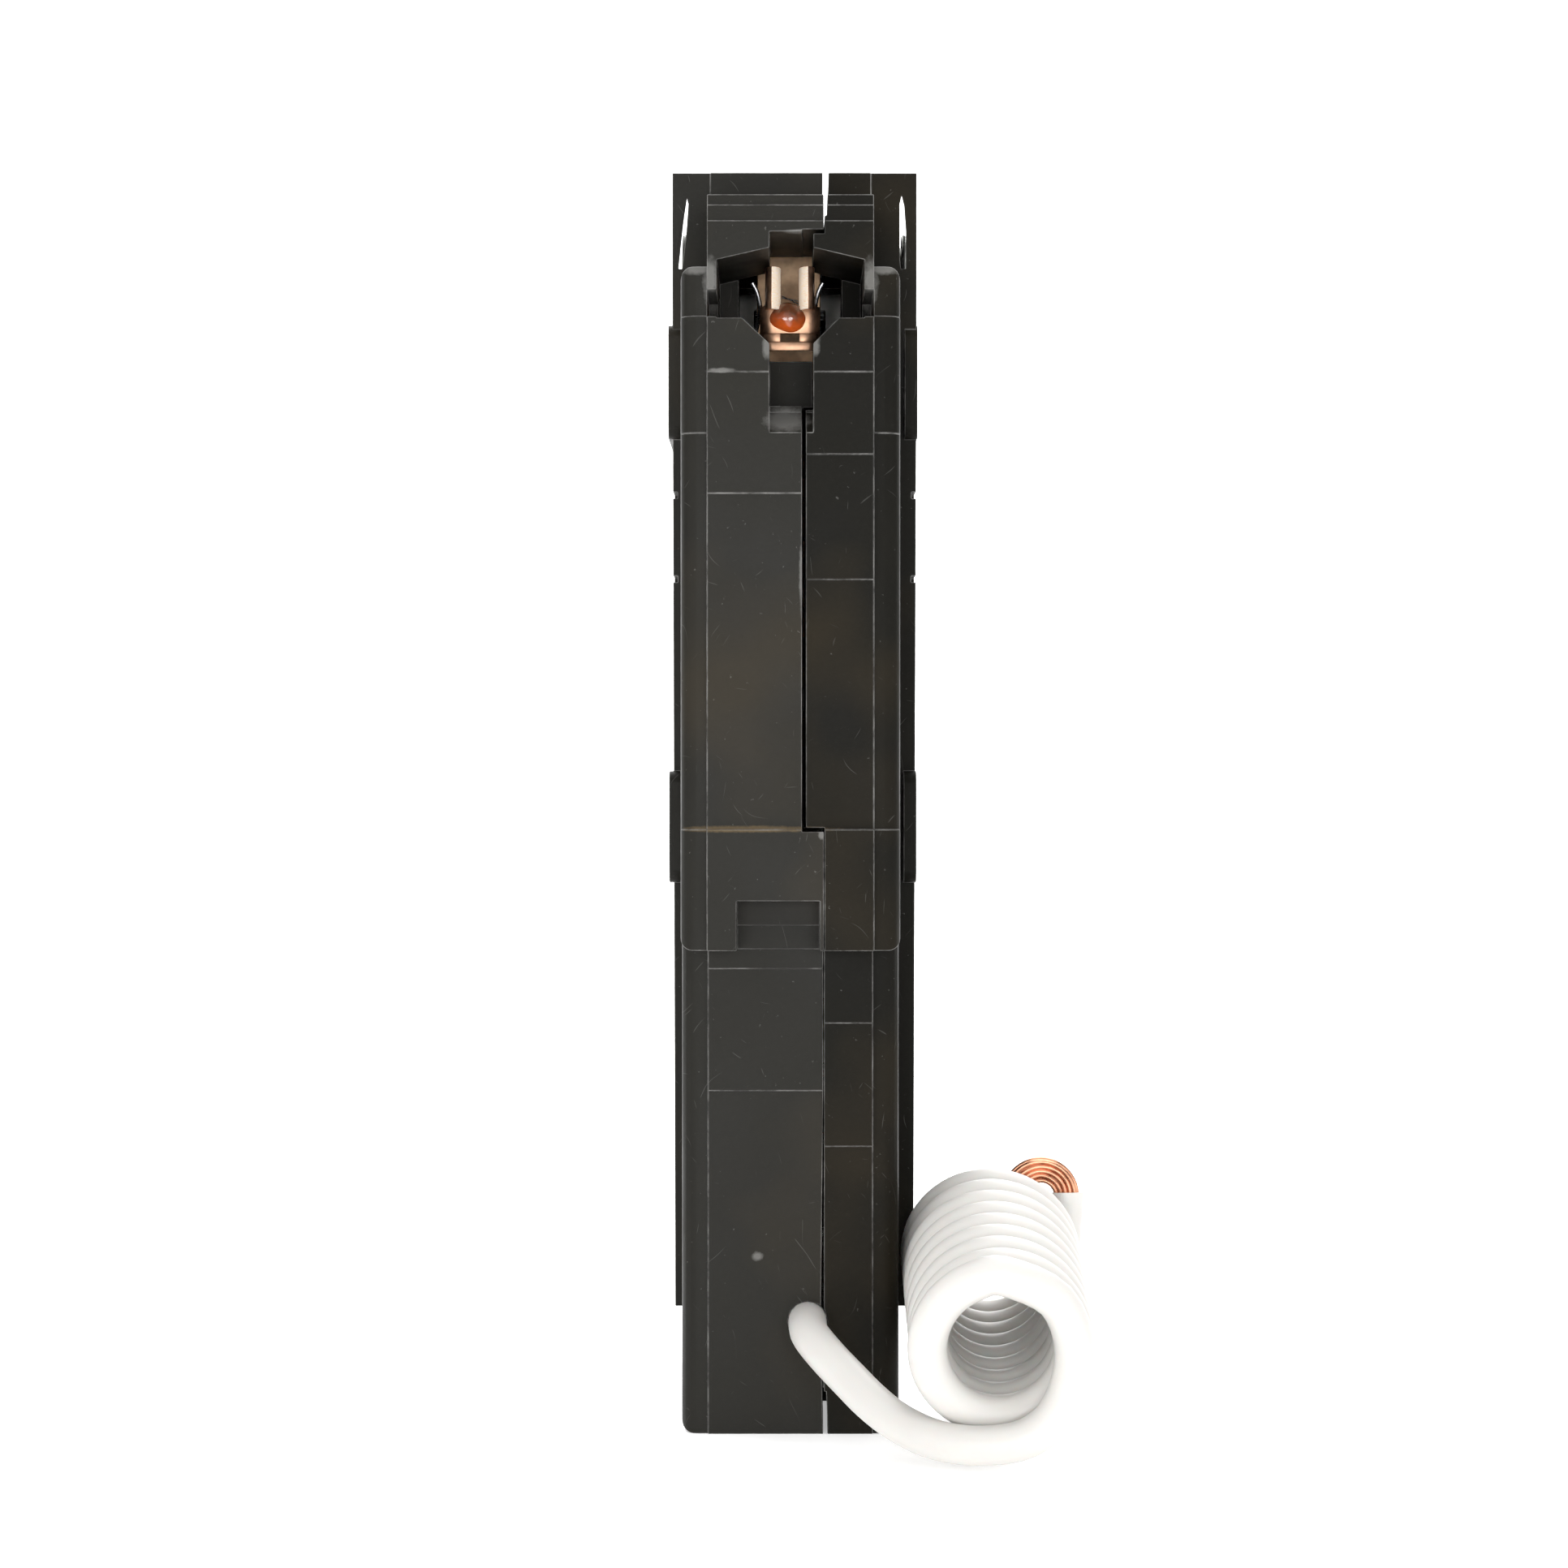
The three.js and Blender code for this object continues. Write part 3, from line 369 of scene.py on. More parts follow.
def mesh_from(name, build):
    """A linked object whose mesh is filled in by build(bm)."""
    mesh = bpy.data.meshes.new(name)
    bm = bmesh.new()
    build(bm)
    bmesh.ops.recalc_face_normals(bm, faces=bm.faces)
    bm.to_mesh(mesh)
    bm.free()
    return link(name, mesh)


def smooth(piece, degrees=32):
    """Smooth shading, with edges sharper than this angle kept sharp."""
    mesh = piece.data
    for face in mesh.polygons:
        face.use_smooth = True
    mesh.set_sharp_from_angle(angle=math.radians(degrees))


def settle(piece):
    """Turns a piece and its modifiers into a plain mesh."""
    graph = bpy.context.evaluated_depsgraph_get()
    graph.update()
    mesh = bpy.data.meshes.new_from_object(piece.evaluated_get(graph), depsgraph=graph)
    piece.modifiers.clear()
    piece.data = mesh
    return piece


def merged_copy(node, name, change=None):
    """A copy of a frame node with its loose triangles joined into flat faces."""
    mesh = frame["nodes"][node].data.copy()
    mesh.materials.clear()
    bm = bmesh.new()
    bm.from_mesh(mesh)
    bmesh.ops.remove_doubles(bm, verts=bm.verts, dist=mm(0.002))
    if change:
        change(bm)
    bmesh.ops.dissolve_limit(bm, angle_limit=math.radians(0.4), verts=bm.verts, edges=bm.edges)
    bm.to_mesh(mesh)
    bm.free()
    return link(name, mesh)


def bevelled(node, name, width, materials, segments=2, angle=25, change=None):
    """A frame node with its edges broken. A second material, if given, goes on the broken edges."""
    piece = merged_copy(node, name, change)
    for material in materials:
        piece.data.materials.append(material)
    cut = piece.modifiers.new("edges", "BEVEL")
    cut.width = width
    cut.segments = segments
    cut.limit_method = "ANGLE"
    cut.angle_limit = math.radians(angle)
    cut.use_clamp_overlap = False
    cut.miter_outer = "MITER_ARC"
    cut.material = len(materials) - 1
    settle(piece)
    smooth(piece)
    even = piece.modifiers.new("even shading", "WEIGHTED_NORMAL")
    even.weight = 100
    even.keep_sharp = True
    return settle(piece)


def joined(piece, *others):
    """One piece made of several, each with its own materials."""
    bm = bmesh.new()
    bm.from_mesh(piece.data)
    for one in others:
        count = len(bm.faces)
        first_slot = len(piece.data.materials)
        bm.from_mesh(one.data)
        bm.faces.ensure_lookup_table()
        for face in bm.faces[count:]:
            face.material_index += first_slot
        for material in one.data.materials:
            piece.data.materials.append(material)
    bm.to_mesh(piece.data)
    bm.free()
    for one in others:
        bpy.data.objects.remove(one)
    return piece


def body_of(node):
    for body, nodes in frame["record"]["behaviour"]["bodies"].items():
        if node in nodes:
            return body
    raise ValueError(f"no body holds {node}")


def slot_of(node):
    for entry in frame["record"]["subparts"]:
        if entry["node"] == node:
            return entry["material_slot"]
    raise ValueError(f"no slot is given for {node}")


def stands_for(piece, node):
    """The finished piece takes the node's place and body."""
    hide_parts(node)
    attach(piece, body_of(node))


# ---------------------------------------------------------------- geometry nodes
def sweep_tree():
    """Turns a run of edges into round wire or a turned bar. Inputs: Radius, Sides and Material."""
    tree = bpy.data.node_groups.new("round_wire", "GeometryNodeTree")
    face = tree.interface
    face.new_socket("Geometry", in_out="INPUT", socket_type="NodeSocketGeometry")
    radius = face.new_socket("Radius", in_out="INPUT", socket_type="NodeSocketFloat")
    radius.subtype = "DISTANCE"
    radius.default_value = mm(0.25)
    sides = face.new_socket("Sides", in_out="INPUT", socket_type="NodeSocketInt")
    sides.default_value = 10
    face.new_socket("Material", in_out="INPUT", socket_type="NodeSocketMaterial")
    face.new_socket("Geometry", in_out="OUTPUT", socket_type="NodeSocketGeometry")
    given = new_node(tree, "NodeGroupInput")
    path = new_node(tree, "GeometryNodeMeshToCurve", {"Mesh": given.outputs["Geometry"]})
    section = new_node(tree, "GeometryNodeCurvePrimitiveCircle", {"Radius": given.outputs["Radius"],
                                                                  "Resolution": given.outputs["Sides"]})
    girth = new_node(tree, "GeometryNodeInputNamedAttribute", {"Name": "girth"}, data_type="FLOAT")
    wire = new_node(tree, "GeometryNodeCurveToMesh", {"Curve": path.outputs["Curve"],
                                                      "Profile Curve": section.outputs["Curve"],
                                                      "Scale": girth.outputs["Attribute"], "Fill Caps": True})
    real = new_node(tree, "GeometryNodeRealizeInstances", {"Geometry": wire.outputs["Mesh"]})
    painted = new_node(tree, "GeometryNodeSetMaterial", {"Geometry": real.outputs["Geometry"],
                                                         "Material": given.outputs["Material"]})
    new_node(tree, "NodeGroupOutput", {"Geometry": painted.outputs["Geometry"]})
    return tree


def run_tree(piece, tree, values):
    """Runs a node tree on a piece with its named inputs, and keeps the result as a plain mesh."""
    step = piece.modifiers.new(tree.name, "NODES")
    step.node_group = tree
    for item in tree.interface.items_tree:
        if item.in_out == "INPUT" and item.name in values:
            step[item.identifier] = values[item.name]
    settle(piece)
    smooth(piece, 40)
    return piece


def swept(name, lines, radius, material, sides=10, girths=None):
    """Round wire along each list of points. Girths, if given, scale the radius at each point."""
    def build(bm):
        girth = bm.verts.layers.float.new("girth")
        for points in lines:
            verts = [bm.verts.new(point) for point in points]
            for i, vert in enumerate(verts):
                vert[girth] = girths[i] if girths else 1.0
            for first, second in zip(verts, verts[1:]):
                bm.edges.new((first, second))

    tree = bpy.data.node_groups.get("round_wire") or sweep_tree()
    return run_tree(mesh_from(name, build), tree, {"Radius": radius, "Sides": sides, "Material": material})


def turned(name, axis, centre, profile, material, sides=40):
    """A turned bar. The profile is (distance along the axis, radius) in mm; centre is the other two of
    x, depth and z."""
    points = []
    for along, _ in profile:
        place = list(centre)
        place.insert("xyz".index(axis), along)
        points.append(at(place))
    return swept(name, [points], mm(1), material, sides, [radius for _, radius in profile])


def helix(axis, centre, radius, start, end, turns, per_turn=20):
    """Points of a helix along one axis, in metres."""
    points = []
    for i in range(round(turns * per_turn) + 1):
        angle = 2 * math.pi * i / per_turn
        place = [centre[0] + radius * math.cos(angle), centre[1] + radius * math.sin(angle)]
        place.insert("xyz".index(axis), start + (end - start) * i / (turns * per_turn))
        points.append(at(place))
    return points


# ---------------------------------------------------------------- stage
class BREAKER_OT_stage(bpy.types.Operator):
    """Camera, white floor and soft studio light"""
    bl_idname = "breaker.stage"
    bl_label = "Stage"

    def execute(self, context):
        self.camera(context)
        self.floor()
        self.lights(context)
        return {"FINISHED"}

    def camera(self, context):
        data = bpy.data.cameras.new("camera")
        data.lens = 87.9
        data.clip_start = 0.01
        camera = bpy.data.objects.new("camera", data)
        context.scene.collection.objects.link(camera)
        camera.location = mm(-0.48, -321, 49)
        camera.rotation_euler = (math.radians(90), 0, 0)
        context.scene.camera = camera

    def floor(self):
        """A floor that curves up into the backdrop behind the part."""
        half, near, far, radius, top = mm(1500), mm(-1500), mm(700), mm(300), mm(1500)
        profile = [(near, 0.0), (far, 0.0)]
        steps = 16
        for i in range(1, steps + 1):
            angle = math.pi / 2 * i / steps
            profile.append((far + radius * math.sin(angle), radius * (1 - math.cos(angle))))
        profile.append((far + radius, top))

        def build(bm):
            rows = [[bm.verts.new((x, y, z)) for x in (-half, half)] for y, z in profile]
            for first, second in zip(rows, rows[1:]):
                bm.faces.new((first[0], first[1], second[1], second[0]))

        floor = mesh_from("floor", build)
        smooth(floor, 60)
        material, tree = new_material("Matt white acrylic sweep, lit from below")
        fibre = noise(tree, object_point(tree), 40.0, 2.0)
        colour = tuple(colours().floor)
        tone = blend(tree, fibre, tint(colour, 0.99), colour)
        finish_material(tree, {"Base Color": tone, "Roughness": 0.9, "Specular IOR Level": 0.1,
                               "Emission Color": colour, "Emission Strength": 0.45})
        floor.data.materials.append(material)

    def lights(self, context):
        world = bpy.data.worlds.new("studio")
        world.use_nodes = True
        background = world.node_tree.nodes["Background"]
        background.inputs["Color"].default_value = (1, 1, 1, 1)
        background.inputs["Strength"].default_value = 0.4
        context.scene.world = world
        context.scene.view_settings.view_transform = "Standard"
        for name, place, aim, size, power in (
            ("top_soft", (0, -80, 640), (0, -40, 0), 620, 2.2),
            ("left_soft", (-380, -330, 200), (0, 0, 50), 300, 0.5),
            ("right_soft", (400, -300, 210), (0, 0, 50), 300, 0.6),
            ("far_floor", (0, 480, 640), (0, 480, 0), 800, 5.0),
            ("backdrop", (0, 420, 700), (0, 1000, 220), 800, 9.0),
            ("front_soft", (0, -470, 150), (0, 0, 80), 200, 0.1),
            ("low_left", (-70, -420, 60), (0, 0, 88), 100, 0.3),
            ("low_right", (70, -420, 60), (0, 0, 88), 100, 0.3),
        ):
            data = bpy.data.lights.new(name, "AREA")
            data.energy = power
            data.size = mm(size)
            lamp = bpy.data.objects.new(name, data)
            context.scene.collection.objects.link(lamp)
            lamp.location = mm(*place)
            lamp.rotation_euler = (mm(*aim) - mm(*place)).to_track_quat("-Z", "Y").to_euler()


# ---------------------------------------------------------------- pigtail
DEPTH = 74                      # of the whole part, from the rear-most face to the handle's tip
COIL_FRONT = (15.1, -10.2, 9.0)  # x, depth and z of the coil's near end, in mm
COIL_TILT = math.radians(9.1)
COIL_YAW = math.radians(0.9)
COIL_START = -1.8               # where the first loop lies along the coil's axis, in mm
EXIT = (1.3, 4.2, 8.5)


def at(point):
    """A place given as x, depth and z in mm, as a vector in metres."""
    x, depth, z = point
    return mm(x, depth - DEPTH / 2, z)


def coil_point(degrees, along, radius):
    """A point of the coil in x, depth and z, from the angle, the distance along the axis and the radius."""
    angle = math.radians(degrees)
    up = radius * math.sin(angle)
    return (
        COIL_FRONT[0] + radius * math.cos(angle) + along * math.sin(COIL_YAW),
        COIL_FRONT[1] + along * math.cos(COIL_TILT) - up * math.sin(COIL_TILT),
        COIL_FRONT[2] + along * math.sin(COIL_TILT) + up * math.cos(COIL_TILT),
    )


def through(knots, per_span):
    """Points of the smooth curve that passes through every knot."""
    ends = [knots[0] * 2 - knots[1], *knots, knots[-1] * 2 - knots[-2]]
    points = []
    for a, b, c, d in zip(ends, ends[1:], ends[2:], ends[3:]):
        for i in range(per_span):
            t = i / per_span
            points.append(0.5 * (2 * b + (c - a) * t + (2 * a - 5 * b + 4 * c - d) * t * t
                                 + (3 * b - a - 3 * c + d) * t ** 3))
    points.append(knots[-1])
    return points


def pigtail_knots():
    radius = sizes().coil / MM
    lead = [
        (1.3, 5.5, 8.5), (1.3, 3, 8.5), (1.5, 0.6, 8), (2.75, -2, 6.8), (4.25, -4, 5.5), (5.95, -6.2, 4.1),
        (7.96, -8.4, 2.9), (10.5, -10.8, 2.15), (13.6, -12.1, 2.0), (16.8, -12.4, 2.6), (19.1, -12.5, 4.7),
        coil_point(0, -2.15, 5.1), coil_point(45, -1.95, 5.3),
    ]
    per_turn = 16
    count = round(sizes().turns * per_turn)
    pitch = sizes().pitch / MM
    coil = []
    first_slack, last_slack = 0.3, 0.32
    for i in range(count):
        loose = first_slack * max(0.0, 1 - 2 * i / per_turn)
        flare = last_slack * i / count
        coil.append(coil_point(90 + 360 * i / per_turn, COIL_START + pitch * i / per_turn, radius + loose + flare))
    tail = [coil_point(-4, 25.2, radius + 0.5), (21.5, 15.5, 14.9), (21.62, 15.9, 16), (21.62, 16, 17)]
    return [at(point) for point in lead + coil + tail]


def curve_piece(name, lines, radius, sides):
    """A round wire along each list of points."""
    data = bpy.data.curves.new(name, "CURVE")
    data.dimensions = "3D"
    data.bevel_depth = radius
    data.bevel_resolution = sides // 2 - 2
    data.use_fill_caps = True
    for points in lines:
        spline = data.splines.new("POLY")
        spline.points.add(len(points) - 1)
        for slot, point in zip(spline.points, points):
            slot.co = (*point, 1.0)
    piece = bpy.data.objects.new(name, data)
    bpy.context.scene.collection.objects.link(piece)
    return piece


class BREAKER_OT_pigtail(bpy.types.Operator):
    """White neutral pigtail, wound in a coil, with its bare strands"""
    bl_idname = "breaker.pigtail"
    bl_label = "Pigtail"

    def execute(self, context):
        route = through(pigtail_knots(), 4)
        wire = curve_piece("pigtail_wire", [route], sizes().wire / 2, 20)
        wire.data.materials.append(wire_vinyl("Extruded white vinyl", tuple(colours().wire)))
        strands = self.strands()
        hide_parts("pigtail_lead", "pigtail_coil", "pigtail_tail")
        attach(wire, "case")
        stands_for(strands, "pigtail_strands")
        return {"FINISHED"}

    def strands(self):
        """Bare strands that bend over side by side in one flat hook behind the coil."""
        lines = []
        gap = sizes().strand * 0.95 / MM
        centre = Vector((19.68, 16, 16.8))
        bend, first_angle, sweep, steps = 1.88, -14, 186, 24
        chance = random.Random(7)
        for column in range(5):
            for row in range(3):
                radius = bend + (column - 2 + 0.5 * (row % 2)) * gap
                depth = centre.y + (row - 1) * gap * 0.88
                stray = chance.uniform(-0.05, 0.05)
                reach = sweep + chance.uniform(0, 10)
                arc = []
                for i in range(steps + 1):
                    angle = math.radians(first_angle + reach * i / steps)
                    wander = radius + stray * math.sin(2.5 * angle)
                    wide = 1.0 + 0.06 * max(0.0, -math.cos(angle))
                    arc.append(at((centre.x + wide * wander * math.cos(angle), depth + stray * math.sin(2 * angle),
                                   centre.z + wander * math.sin(angle))))
                lines.append(arc)
        copper = stamped_copper("Drawn bare copper", linear("DDA080"), 0.3)
        return swept("pigtail_copper", lines, sizes().strand / 2, copper)


# ---------------------------------------------------------------- case
class BREAKER_OT_case(bpy.types.Operator):
    """Moulded case: base and cover, with worn edges that also carry a painted highlight; the cover is darker as
    painted shade
    """
    bl_idname = "breaker.case"
    bl_label = "Case"

    def execute(self, context):
        # Each half gets its own copy of the case colour, the cover's darkened to 0.6 against the base's 0.95:
        # painted shade on the cover's side.
        halves = (("base_shell", "case_base", 0.95, 0.14), ("cover_shell", "case_cover", 0.6, 0.06))
        for node, name, shade, sheen in halves:
            colour = tint(tuple(colours().case), shade)
            face = moulded_case(f"Moulded black phenolic, {name}", colour, sheen)
            edge = worn_and_highlit_edge(f"Rubbed phenolic edge, {name}", colour)
            piece = bevelled(node, name, sizes().edge, [face, edge], change=seated)
            stands_for(piece, node)
        return {"FINISHED"}


# Mating faces: x in the frame, then x as riveted together, in mm.
END_SEAM = [(2.35, 2.47), (2.65, 2.53), (1.55, 1.68)]
MIDDLE_SEAM = [(0.85, 0.97), (1.15, 1.03)]
MIDDLE_SEAM_DEPTH = 3.0         # the middle seam stays open, as a groove, down to this depth
HOLE_RADIUS, SNUG_RADIUS, HOLE_DEPTH = 1.75, 1.5, 8.1  # the wire's hole, in the frame and round the wire


def seated(bm):
    """Brings the mating faces close together, as they are when riveted, and the wire's hole close to the wire."""
    hole = Vector((mm(EXIT[0]), mm(EXIT[2])))
    for vert in bm.verts:
        depth = vert.co.y / MM + DEPTH / 2
        for plane, closed in END_SEAM + (MIDDLE_SEAM if depth > MIDDLE_SEAM_DEPTH else []):
            if abs(vert.co.x - mm(plane)) < mm(0.004):
                vert.co.x = mm(closed)
        across = Vector((vert.co.x, vert.co.z)) - hole
        if depth < HOLE_DEPTH and abs(across.length - mm(HOLE_RADIUS)) < mm(0.06):
            vert.co.x, vert.co.z = hole + across * (SNUG_RADIUS / HOLE_RADIUS)


class BREAKER_OT_rivets(bpy.types.Operator):
    """Rivets that hold the case's two halves together"""
    bl_idname = "breaker.rivets"
    bl_label = "Rivets"

    def execute(self, context):
        steel = worked_metal("Zinc-plated steel, headed", "B4B5B0", 0.34)
        for number in range(1, 5):
            node = f"case_rivet_{number}"
            low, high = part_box(node)
            centre = ((low[1] + high[1]) / 2 / MM + DEPTH / 2, (low[2] + high[2]) / 2 / MM)
            left, right, inset = low[0] / MM, high[0] / MM, 0.05
            head = [(0.0, 0.6), (0.04, 0.75), (0.06, 0.9), (0.0, 1.0), (0.0, 1.9), (0.04, 2.12), (0.14, 2.2),
                    (0.4, 2.2), (0.41, 1.2)]
            profile = [(left + inset + a, r) for a, r in head]
            profile += [(right - inset - a, r) for a, r in reversed(head)]
            stands_for(turned(f"rivet_{number}", "x", centre, spaced(profile), steel), node)
        return {"FINISHED"}


def spaced(profile):
    """The profile with each point moved on a little where it doesn't advance along the axis."""
    out = [profile[0]]
    for along, radius in profile[1:]:
        out.append((max(along, out[-1][0] + 0.004), radius))
    return out


class BREAKER_OT_terminals(bpy.types.Operator):
    """Box lugs with their pressure plates and threaded, slotted screws"""
    bl_idname = "breaker.terminals"
    bl_label = "Terminals"

    def execute(self, context):
        zinc = worked_metal("Zinc-plated steel, terminal", "B9BAB4", 0.32)
        plate = worked_metal("Stamped steel plate", "9B9A96", 0.38)
        for side in ("neutral", "load"):
            for node, metal in ((f"{side}_lug", zinc), (f"{side}_pressure_plate", plate)):
                stands_for(bevelled(node, f"{node}_stamped", sizes().metal_edge, [metal]), node)
            stands_for(self.screw(f"{side}_screw", zinc), f"{side}_screw")
        return {"FINISHED"}

    def screw(self, node, metal):
        """A cheese-head set screw: a threaded shank, a chamfered head and a driver slot."""
        low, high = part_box(node)
        z = (low[2] + high[2]) / 2 / MM
        start, end = low[1] / MM + DEPTH / 2, high[1] / MM + DEPTH / 2
        profile = [(start, 1.5), (start + 0.3, 2.1)]
        pitch = 0.7
        turn = start + 0.5
        while turn < end - 2.0:
            profile += [(turn, 2.2), (turn + pitch / 2, 2.56)]
            turn += pitch
        profile += [(end - 1.9, 2.2), (end - 1.7, 2.35), (end - 1.6, 2.6), (end - 0.2, 2.6), (end, 2.42)]
        screw = turned(f"{node}_turned", "y", (0, z), profile, metal, 48)
        knife = mesh_from("knife", lambda bm: self.slot(bm, z, end))
        cut = screw.modifiers.new("driver slot", "BOOLEAN")
        cut.operation = "DIFFERENCE"
        cut.object = knife
        cut.solver = "EXACT"
        settle(screw)
        bpy.data.objects.remove(knife)
        screw.data.materials.clear()
        screw.data.materials.append(metal)
        smooth(screw, 30)
        return screw

    def slot(self, bm, z, end):
        made = bmesh.ops.create_cube(bm, size=1.0)
        for vert in made["verts"]:
            x, y, up = vert.co
            vert.co = at((8 * x, end + 2.0 * y, z + 0.9 * up))


class BREAKER_OT_springs(bpy.types.Operator):
    """Coil springs and the flexible braid"""
    bl_idname = "breaker.springs"
    bl_label = "Springs and braid"

    def execute(self, context):
        wire = worked_metal("Drawn spring steel", "A9A9A6", 0.3)
        for node, axis, centre, radius, thick, start, end, turns, joint in (
            ("toggle_spring", "z", (-3.3, 37.6), 0.9, 0.28, 63.0, 73.6, 7, None),
            ("plunger_spring", "y", (0, 38.5), 1.85, 0.2, 43.1, 46.4, 4.5, "plunger_stroke"),
            ("test_button_spring", "y", (0, 41.3), 1.5, 0.2, 51.5, 54.7, 4.5, "test_press"),
        ):
            coil = swept(f"{node}_wound", [helix(axis, centre, radius, start, end, turns)], mm(thick), wire, 8)
            stands_for(coil, node)
            if joint:
                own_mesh(coil)
        braid = self.braid()
        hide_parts("flexible_braid")
        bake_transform(braid)
        return {"FINISHED"}

    def braid(self):
        """Fine strands laid round one another along the braid's route."""
        route = through([at(point) for point in (
            (0.2, 24.1, 59.8), (0.2, 24.6, 62.6), (0.3, 27.4, 66.2), (0.3, 32, 67.2), (0.3, 36, 66.2),
            (0.2, 38.6, 65.4))], 12)
        count, twist = 9, 0.28
        lines = []
        for strand in range(count):
            line = []
            for i, point in enumerate(route):
                angle = 2 * math.pi * strand / count + twist * i * (1 if strand % 2 else -1)
                reach = mm(0.5 if strand % 2 else 0.62)
                line.append(point + Vector((math.cos(angle), 0, math.sin(angle))) * reach)
            lines.append(line)
        copper = stamped_copper("Braided tinned copper", linear("C58A66"), 0.35)
        return swept("braid_strands", lines, mm(0.2), copper, 6)


class BREAKER_OT_fault_module(bpy.types.Operator):
    """Sensing cores with their windings, and the solenoid with its bobbin, turns and plunger"""
    bl_idname = "breaker.fault_module"
    bl_label = "Fault module"

    def execute(self, context):
        enamel = stamped_copper("Enamelled copper wire", linear("9A4A22"), 0.28)
        tape = moulded_plastic("Wound polyester tape", linear("8C7A34"), 0.35)
        ferrite = moulded_plastic("Sintered ferrite", linear("3A3A3D"), 0.6)
        cores = (("sensor_core", 27.6, 32.0, 46, tape), ("neutral_core", 22.2, 26.4, 22, ferrite))
        for node, z0, z1, turns, body in cores:
            ring = bevelled(node, f"{node}_ring", mm(0.3), [body], segments=3)
            wound = swept(f"{node}_turns", [self.toroid(z0, z1, turns)], mm(0.09), enamel, 6)
            stands_for(joined(ring, wound), node)
        wound = [helix("y", (0, 38.5), 4.42, 32.3, 41.1, 30, 24)]
        bobbin = bevelled("solenoid_coil", "solenoid_bobbin", mm(0.1), [moulded_plastic(
            "Moulded nylon bobbin", linear("C9C2AE"), 0.45)])
        bobbin.data.transform(self.pinch())
        stands_for(joined(bobbin, swept("solenoid_turns", wound, mm(0.17), enamel, 8)), "solenoid_coil")
        steel = worked_metal("Turned steel plunger", "A5A5A2", 0.25)
        plunger = turned("plunger_turned", "y", (0, 38.5), [
            (29.5, 0.6), (29.7, 1.1), (29.9, 1.3), (46.98, 1.3), (47, 1.9), (47.15, 2.1), (47.85, 2.1), (48, 1.95),
        ], steel)
        stands_for(plunger, "solenoid_plunger")
        return {"FINISHED"}

    def pinch(self):
        """Draws the bobbin in a little about its axis, to leave room for its turns."""
        centre = at((0, 37, 38.5))
        return Matrix.Translation(centre) @ Matrix.Diagonal((0.93, 1, 0.93, 1)) @ Matrix.Translation(-centre)

    def toroid(self, z0, z1, turns):
        """The path of a winding round a ring that lies flat about x -1, depth 14."""
        inner, outer, lift = 2.66, 5.28, 0.08
        slant, wound_share = 0.22, 0.94
        points = []
        for i in range(turns * 4):
            angle = 2 * math.pi * (i // 4 + (i % 4) * slant) / turns * wound_share
            radius = outer if i % 4 in (0, 1) else inner
            z = z1 + lift if i % 4 in (1, 2) else z0 - lift
            points.append(at((-1 + radius * math.cos(angle), 14 + radius * math.sin(angle), z)))
        return points


class BREAKER_OT_mechanism(bpy.types.Operator):
    """Handle, button, flag, window and the stamped and moulded parts inside"""
    bl_idname = "breaker.mechanism"
    bl_label = "Mechanism"

    def execute(self, context):
        finishes = {
            "copper": stamped_copper("Stamped bare copper", tuple(colours().copper)),
            "steel": worked_metal("Stamped spring steel", "A3A29E", 0.36),
            "zinc": worked_metal("Zinc-plated steel", "B9BAB4", 0.32),
            "brass": worked_metal("Rolled brass strip", "C2A260", 0.3),
            "contact_silver": worked_metal("Sintered silver contact", "D8D6D0", 0.3),
            "fibre": moulded_plastic("Vulcanised fibre", linear("8F765A"), 0.8, 0.2, 0.02),
            "board": moulded_plastic("Glass-epoxy laminate", linear("27502F"), 0.4),
            "component_epoxy": moulded_plastic("Moulded epoxy", linear("1B1B1C"), 0.5),
            "component_coat": moulded_plastic("Dipped coating", linear("33518A"), 0.3),
            "wire_insulation": wire_vinyl("Inner white vinyl", tuple(colours().wire)),
            "handle_moulding": moulded_plastic("Moulded black handle", tuple(colours().handle), 0.42),
            "button_moulding": moulded_plastic("Moulded ivory button", tuple(colours().button), 0.35),
            "flag_moulding": moulded_plastic("Moulded red flag", tuple(colours().flag), 0.4),
            "lens": clear_lens("Clear moulded window"),
        }
        # The line terminal gets a darker, duller copper than the other copper parts: partly its own muted colour,
        # partly painted shade where it shows below the jaw clip.
        dull_and_shaded = stamped_copper("Tarnished copper terminal with painted shade", linear("C0A284"), 0.46)
        rounding = {"toggle_handle": 0.3, "test_button": 0.3, "indicator_lens": 0.15, "filter_capacitor": 0.4,
                    "surge_varistor": 0.5, "resistor_1": 0.3, "resistor_2": 0.3, "contact_arm": 0.15}
        gone = {entry["node"] for entry in frame["record"]["subparts"]
                if frame["nodes"][entry["node"]].hide_render}
        for node in frame["nodes"]:
            if node in gone:
                continue
            width = mm(rounding[node]) if node in rounding else sizes().metal_edge
            finish = dull_and_shaded if node == "line_terminal" else finishes[slot_of(node)]
            piece = bevelled(node, f"{node}_finished", width, [finish], segments=3)
            stands_for(piece, node)
        return {"FINISHED"}


